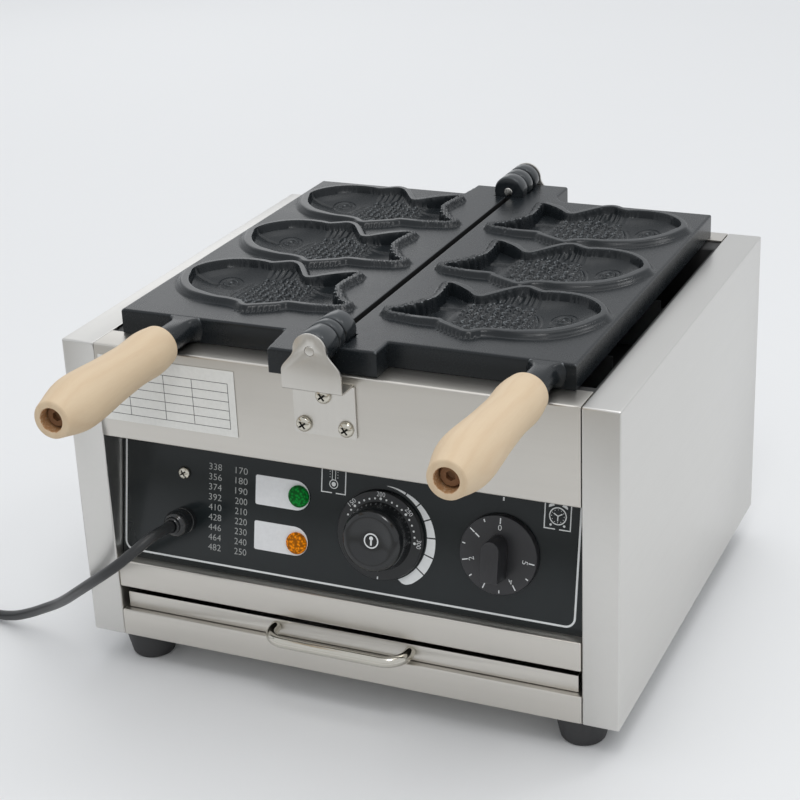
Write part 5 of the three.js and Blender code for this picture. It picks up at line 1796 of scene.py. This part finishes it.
    def bolt(self) -> None:
        """The bolt deep in the grip, its head with a hexagon socket."""
        head_foot = self.grip_length - 11.7
        profile = [
            (0.0, -14.3), (3.4, -14.3), (4.0, -13.6), (4.0, head_foot), (6.9, head_foot),
            (7.0, head_foot + 0.3), (7.0, head_foot + 4.4), (6.5, head_foot + 5.0),
            (0.0, head_foot + 5.0),
        ]
        bolt = turned(f"{self.hand.word}_grip_bolt", profile, 36)
        hexagon = arc((0.0, 0.0), 3.4, 0.0, 300.0, 5)[::-1]
        cut_away(bolt, prism("socket", hexagon, head_foot + 1.6, self.grip_length))
        moved(bolt, TO_FRONT, shift(self.boss_x, self.grip_start, self.boss_height))
        node = f"{self.hand.word}_handle_bolt"
        fitted(bolt, FINISHES.oxide, [node], 35.0, body=self.body)

    def build(self) -> None:
        """Builds the plate and its grip."""
        parts = [self.casting(), self.boss()]
        parts += [self.knuckle(a, b) for owner, a, b in self.knuckles if owner == self.hand.value]
        plate = joined(f"{self.hand.word}_cast_plate", parts)
        node = f"{self.hand.word}_mould_plate"
        fitted(plate, FINISHES.casting, [node], 48.0, body=self.body)
        self.grip()
        self.bolt()


@dataclass
class DripTray:
    """The tray, its bar handle and the two screws behind it."""

    half_span: float = 54.25
    height: float = 30.0
    reach: float = 15.0
    bend: float = 15.5
    radius: float = 4.25

    def tray(self) -> None:
        """The shallow folded tray."""
        tray = copied("drip_tray", "tray_sheet")
        bevelled(tray, 0.4, 2, 50.0)
        fitted(tray, FINISHES.front_sheet, ["drip_tray"], 30.0, body="tray")

    def handle(self) -> None:
        """Bent bar whose ends stand on the tray's face."""
        start = 4.7
        inner = self.half_span - self.bend
        bend_y = -self.reach + self.bend
        half = [(self.half_span, start, self.height), (self.half_span, start - 2.0, self.height)]
        for i in range(13):
            a = math.pi / 2 * i / 12
            x, y = inner + self.bend * math.cos(a), bend_y - self.bend * math.sin(a)
            half.append((x, y, self.height))
        line = half + [(-x, y, z) for x, y, z in reversed(half)]
        handle = tube_along("tray_bar_handle", np.array(line), self.radius, 8)
        fitted(handle, FINISHES.chrome, ["tray_handle"], 40.0, body="tray")

    def build(self) -> None:
        """Builds the tray."""
        self.tray()
        self.handle()
        for side in Hand:
            dressed(f"tray_handle_screw_{side.word}", FINISHES.zinc)


@dataclass
class ControlPanel:
    """The leaning panel, its print, lamps and screw."""

    power: Pair = (-36.8, 68.2)
    heat: Pair = (-37.7, 32.6)
    screw: Pair = (-132.3, 72.2)
    dial: Pair = (29.3, 50.7)
    clock: Pair = (160.2, 83.3)
    symbol_top: float = 96.0
    height: float = 112.0
    sheet_thickness: float = 1.5

    def sheet(self) -> None:
        """The panel itself."""
        low, high = (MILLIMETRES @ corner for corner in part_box("control_panel"))
        corners = (low.x, 0.0, -self.sheet_thickness), (high.x, self.height, 0.0)
        panel = block("panel_sheet", *corners)
        bevelled(panel, 0.25, 2, 50.0)
        moved(panel, PANEL_FRAME)
        fitted(panel, FINISHES.panel, ["control_panel"], 30.0)

    def border(self, marks: Print) -> None:
        """The white line along three sides of the panel."""
        left, right, low, high, corner = -182.5, 176.7, 5.4, 110.0, 7.0
        points = [(left, high)]
        points += arc((left + corner, low + corner), corner, 270.0, 180.0, 8)
        points += arc((right - corner, low + corner), corner, 180.0, 90.0, 8)
        points += [(right, high)]
        marks.line(points, 1.45)

    def table(self) -> None:
        """Two columns of temperatures, in a fainter print."""
        marks = Print("temperature_table", 0.01, 0.07)
        for i in range(9):
            up = 80.3 - 7.76 * i
            celsius = 170 + 10 * i
            marks.number(str(celsius * 9 // 5 + 32), (-106.2, up), 4.9, 10.6)
            marks.number(str(celsius), (-84.4, up), 4.9, 10.0)
        marks.fit(FINISHES.faint_ink, PANEL_FRAME)

    def arc_scale(self, marks: Print) -> None:
        """The widening scale round the temperature dial, in separate segments."""
        outer = [
            (5, 35.5), (30, 37), (48, 38.7), (66, 40.3), (87, 41.5), (106, 42.3),
            (128, 42.6), (144, 42.0), (150, 40.9), (153.5, 39.2), (155.5, 37.0), (156.2, 35.6),
        ]
        angles, radii = zip(*outer)
        cuts = [5.0, 29.5, 48.0, 67.0, 87.0, 107.5, 127.5, 156.2]
        for start, end in zip(cuts, cuts[1:]):
            first = start + (0.0 if start == cuts[0] else 0.75)
            last = end - (0.0 if end == cuts[-1] else 0.75)
            steps = 14
            far = []
            for i in range(steps + 1):
                angle = first + (last - first) * i / steps
                far.append(around(self.dial, float(np.interp(angle, angles, radii)), angle))
            near = arc(self.dial, 35.2, last, first, steps)
            marks.area(far + near)

    def framed(self, marks: Print, low: float, *sides: Pair) -> None:
        """The sides of a symbol's frame, each as its edge and where its foot ends."""
        for edge, foot in sides:
            marks.line([(edge, self.symbol_top), (edge, low), (foot, low)], 0.8)

    def thermometer(self, marks: Print) -> None:
        """A framed thermometer."""
        self.framed(marks, 74.6, (-19.1, -10.8), (-0.2, -7.7))
        x, bulb, bore, mark = -9.6, 81.2, 1.3, 3.1
        marks.ring((x, bulb), 3.2, 0.6, 20)
        marks.dot((x, bulb), 1.7)
        for side in (-1, 1):
            marks.line([(x + side * bore, bulb + 3.0), (x + side * bore, self.symbol_top)], 0.4)
            for i in range(5):
                marks.dot((x + side * mark, bulb + 5.0 + 2.1 * i), 0.32, 6)

    def alarm_clock(self, marks: Print) -> None:
        """A framed alarm clock."""
        x, y = self.clock
        self.framed(marks, 73.9, (150.7, 158.6), (169.6, 161.6))
        marks.ring((x, y), 6.0, 0.8, 32)
        for i in range(12):
            marks.dot(around((x, y), 4.6, 30.0 * i), 0.32, 6)
        for angle in (60.0, 180.0, 300.0):
            marks.line([(x, y), around((x, y), 3.6, angle)], 0.75)
        for side in (-1, 1):
            bell = arc((x + side * 4.6, y + 6.3), 2.3, side * 25 - 85, side * 25 + 85, 8)
            marks.area(bell)
            marks.dot((x + side * 4.9, y - 6.6), 0.9, 8)

    def lamp_plate(self, name: str, corner: Pair, end: float, top: float) -> None:
        """A pale plate with one round end under a lamp."""
        left, bottom = corner
        middle = (bottom + top) / 2
        radius = (top - bottom) / 2
        outline = [(left + 1.0, top), (left, top - 1.0), (left, bottom + 1.0), (left + 1.0, bottom)]
        outline += arc((end - radius, middle), radius, 180.0, 0.0, 16)
        plate = Print(name, 0.02, 0.2)
        plate.area(outline)
        plate.fit(FINISHES.plate_ink, PANEL_FRAME, smooth=30.0)

    def print_on(self) -> None:
        """All the white print of the panel."""
        marks = Print("panel_print", 0.01, 0.09)
        self.border(marks)
        self.table()
        self.arc_scale(marks)
        self.thermometer(marks)
        self.alarm_clock(marks)
        marks.line([(120.4, 88.4), (120.4, 91.0)], 1.2)
        marks.fit(FINISHES.white_ink, PANEL_FRAME)
        self.lamp_plate("power_plate", (-72.5, 57.1), -28.5, 79.5)
        self.lamp_plate("heat_plate", (-72.9, 22.6), -29.0, 44.6)

    def lamps(self) -> None:
        """Two lenses with a bezel step and a dome."""
        profile = [
            (0.0, -20.0), (6.0, -20.0), (6.0, 0.3), (8.2, 0.3), (8.2, 1.9), (7.7, 2.6), (7.2, 2.6),
            (7.0, 3.2), (6.0, 3.9), (4.2, 4.35), (2.0, 4.55), (0.0, 4.6),
        ]
        for name, place, finish, slot in (
            ("power_lamp", self.power, FINISHES.green, "green_lens"),
            ("heat_lamp", self.heat, FINISHES.orange, "orange_lens"),
        ):
            lens = moved(turned(f"{name}_lens", profile, 48), fitting_place(*place))
            fitted(lens, finish, [name], 32.0)

    def panel_screw(self) -> None:
        """The one screw that shows."""
        names = "panel_screw_head", "control_panel_screw"
        CrossedScrew(4.8, 3.0, 2.0).fit(*names, fitting_place(*self.screw))

    def build(self) -> None:
        """Builds the panel."""
        self.sheet()
        self.print_on()
        self.lamps()
        self.panel_screw()


@dataclass
class Dial:
    """A dial on the control panel: its place there and its radius."""

    across: float
    up: float
    skirt: float
    shaft: str

    @property
    def place(self) -> Matrix:
        """The dial's frame, its axis out of the panel."""
        return fitting_place(self.across, self.up)

    def knob(self) -> None:
        """The knob."""
        raise NotImplementedError

    def marks(self) -> None:
        """The print on it."""
        raise NotImplementedError

    def build(self) -> None:
        """Builds the dial."""
        self.knob()
        self.marks()
        dressed(self.shaft, FINISHES.zinc)


@dataclass
class TemperatureDial(Dial):
    """The domed knob on its graduated skirt."""

    across: float = 29.5
    up: float = 49.8
    skirt: float = 34.5
    shaft: str = "temperature_shaft"

    def knob(self) -> None:
        """Skirt, dome and dished face."""
        profile = [
            (3.3, 0.6), (self.skirt - 1.6, 0.6), (self.skirt - 1.2, 1.0), (self.skirt - 1.3, 3.4),
            (self.skirt - 1.5, 4.2), (self.skirt - 2.0, 4.8), (self.skirt - 2.7, 5.0), (26.2, 5.0),
            (25.3, 5.4), (24.9, 6.4), (24.3, 10.5), (23.4, 15.0), (22.9, 17.0), (22.0, 18.8),
            (20.8, 20.1), (19.3, 20.8), (17.8, 21.0), (16.3, 20.8), (14.5, 20.2), (12.0, 19.3),
            (9.5, 18.7), (7.5, 18.45), (6.3, 18.45), (6.1, 18.6), (0.0, 18.6), (0.0, 12.3),
            (3.3, 12.3), (3.3, 0.6),
        ]
        knob = turned("temperature_dial_knob", profile, 96)
        faces = knob.data.polygons
        skirt = [face.index for face in faces if math.hypot(*face.center.xy) > 25.3]
        moved(knob, self.place)
        nodes = ["temperature_knob"]
        fitted(knob, FINISHES.knob, nodes, 30.0, body="temperature_dial")
        refinished(knob, skirt, FINISHES.skirt)

    def marks(self) -> None:
        """Dots and numbers on the skirt, and a ring with a pointer on the face."""
        skirt = Print("temperature_skirt_print", 5.0, 0.08)
        for i in range(18):
            angle = -63.7 + 9.2 * i
            large = i in (2, 7, 12, 17)
            skirt.dot(around((0, 0), 27.6, angle), 1.0 if large else 0.75, 10)
            if large:
                number = str(150 + 50 * ((i - 2) // 5))
                skirt.number(number, around((0, 0), 30.9, angle), 3.4, 6.4, angle)
        skirt.dot(around((0, 0), 27.6, -163.0), 0.75, 10)
        skirt.line([(0.0, -30.2), (0.0, -32.2)], 1.0)
        skirt.fit(FINISHES.white_ink, self.place, body="temperature_dial")
        face = Print("temperature_face_print", 18.6, 0.08)
        face.ring((0, 0), 5.15, 0.95, 32)
        face.dot((0, 1.85), 1.5, 16)
        face.line([(0.0, 1.4), (0.0, -3.4)], 1.3)
        face.fit(FINISHES.white_ink, self.place, body="temperature_dial")


@dataclass
class TimerDial(Dial):
    """The flat dial with its bar grip."""

    across: float = 120.4
    up: float = 50.5
    skirt: float = 28.9
    shaft: str = "timer_shaft"

    def knob(self) -> None:
        """Disc with a fine raised rim, and the bar that the fingers turn."""
        profile = [
            (3.3, 0.6), (self.skirt - 0.5, 0.6), (self.skirt, 1.1), (self.skirt, 5.2),
            (self.skirt - 0.5, 6.1), (self.skirt - 1.5, 6.5), (14.0, 6.5), (0.0, 6.5), (0.0, 5.0),
            (3.3, 5.0), (3.3, 0.6),
        ]
        disc = turned("disc", profile, 96)
        half, nose = 14.9, 7.0
        turns = np.linspace(0, math.pi, 17)
        outline = [(nose * math.cos(a), half - nose + nose * math.sin(a)) for a in turns]
        outline += [(-nose, -half - 1.2), (nose, -half - 1.2)]
        bar = prism("bar", outline, 5.8, 24.0)
        with editing(bar, "FACE") as mesh:
            top = max(mesh.faces, key=lambda f: f.calc_center_median().z)
            top.select = True
            bmesh.update_edit_mesh(bar.data)
            bpy.ops.transform.resize(value=(0.93, 0.96, 1.0), center_override=(0.0, 0.0, 24.0))
        bevelled(bar, 0.9, 3, 40.0)
        knob = joined("timer_dial_knob", [disc, bar])
        moved(knob, self.place)
        fitted(knob, FINISHES.timer, ["timer_knob"], 32.0, body="timer_dial")

    def marks(self) -> None:
        """Ticks and numbers on the disc."""
        print_on = Print("timer_dial_print", 6.5, 0.08)
        for i in range(11):
            angle = 1.5 - 26.6 * i
            whole = i % 2 == 0
            inner, outer = (22.9, 27.2) if whole else (25.0, 27.2)
            ends = [around((0, 0), r, angle) for r in (inner, outer)]
            print_on.line(ends, 0.8)
            if whole:
                wide = 1.0 if i == 2 else 2.6
                print_on.number(str(i // 2), around((0, 0), 20.2, angle), 4.0, wide, angle)
        print_on.fit(FINISHES.white_ink, self.place, body="timer_dial")


def main() -> None:
    """Builds every sub-assembly and logs each one as it is done."""
    logging.basicConfig(level=logging.INFO, format="%(message)s")
    for assembly in (
        Studio(),
        MainsCord(),
        Cabinet(),
        PivotBrackets(),
        MouldPlate(Hand.LEFT),
        MouldPlate(Hand.RIGHT),
        DripTray(),
        ControlPanel(),
        TemperatureDial(),
        TimerDial(),
    ):
        assembly.build()
        LOG.info("%s done", type(assembly).__name__)


if __name__ == "__main__":
    main()
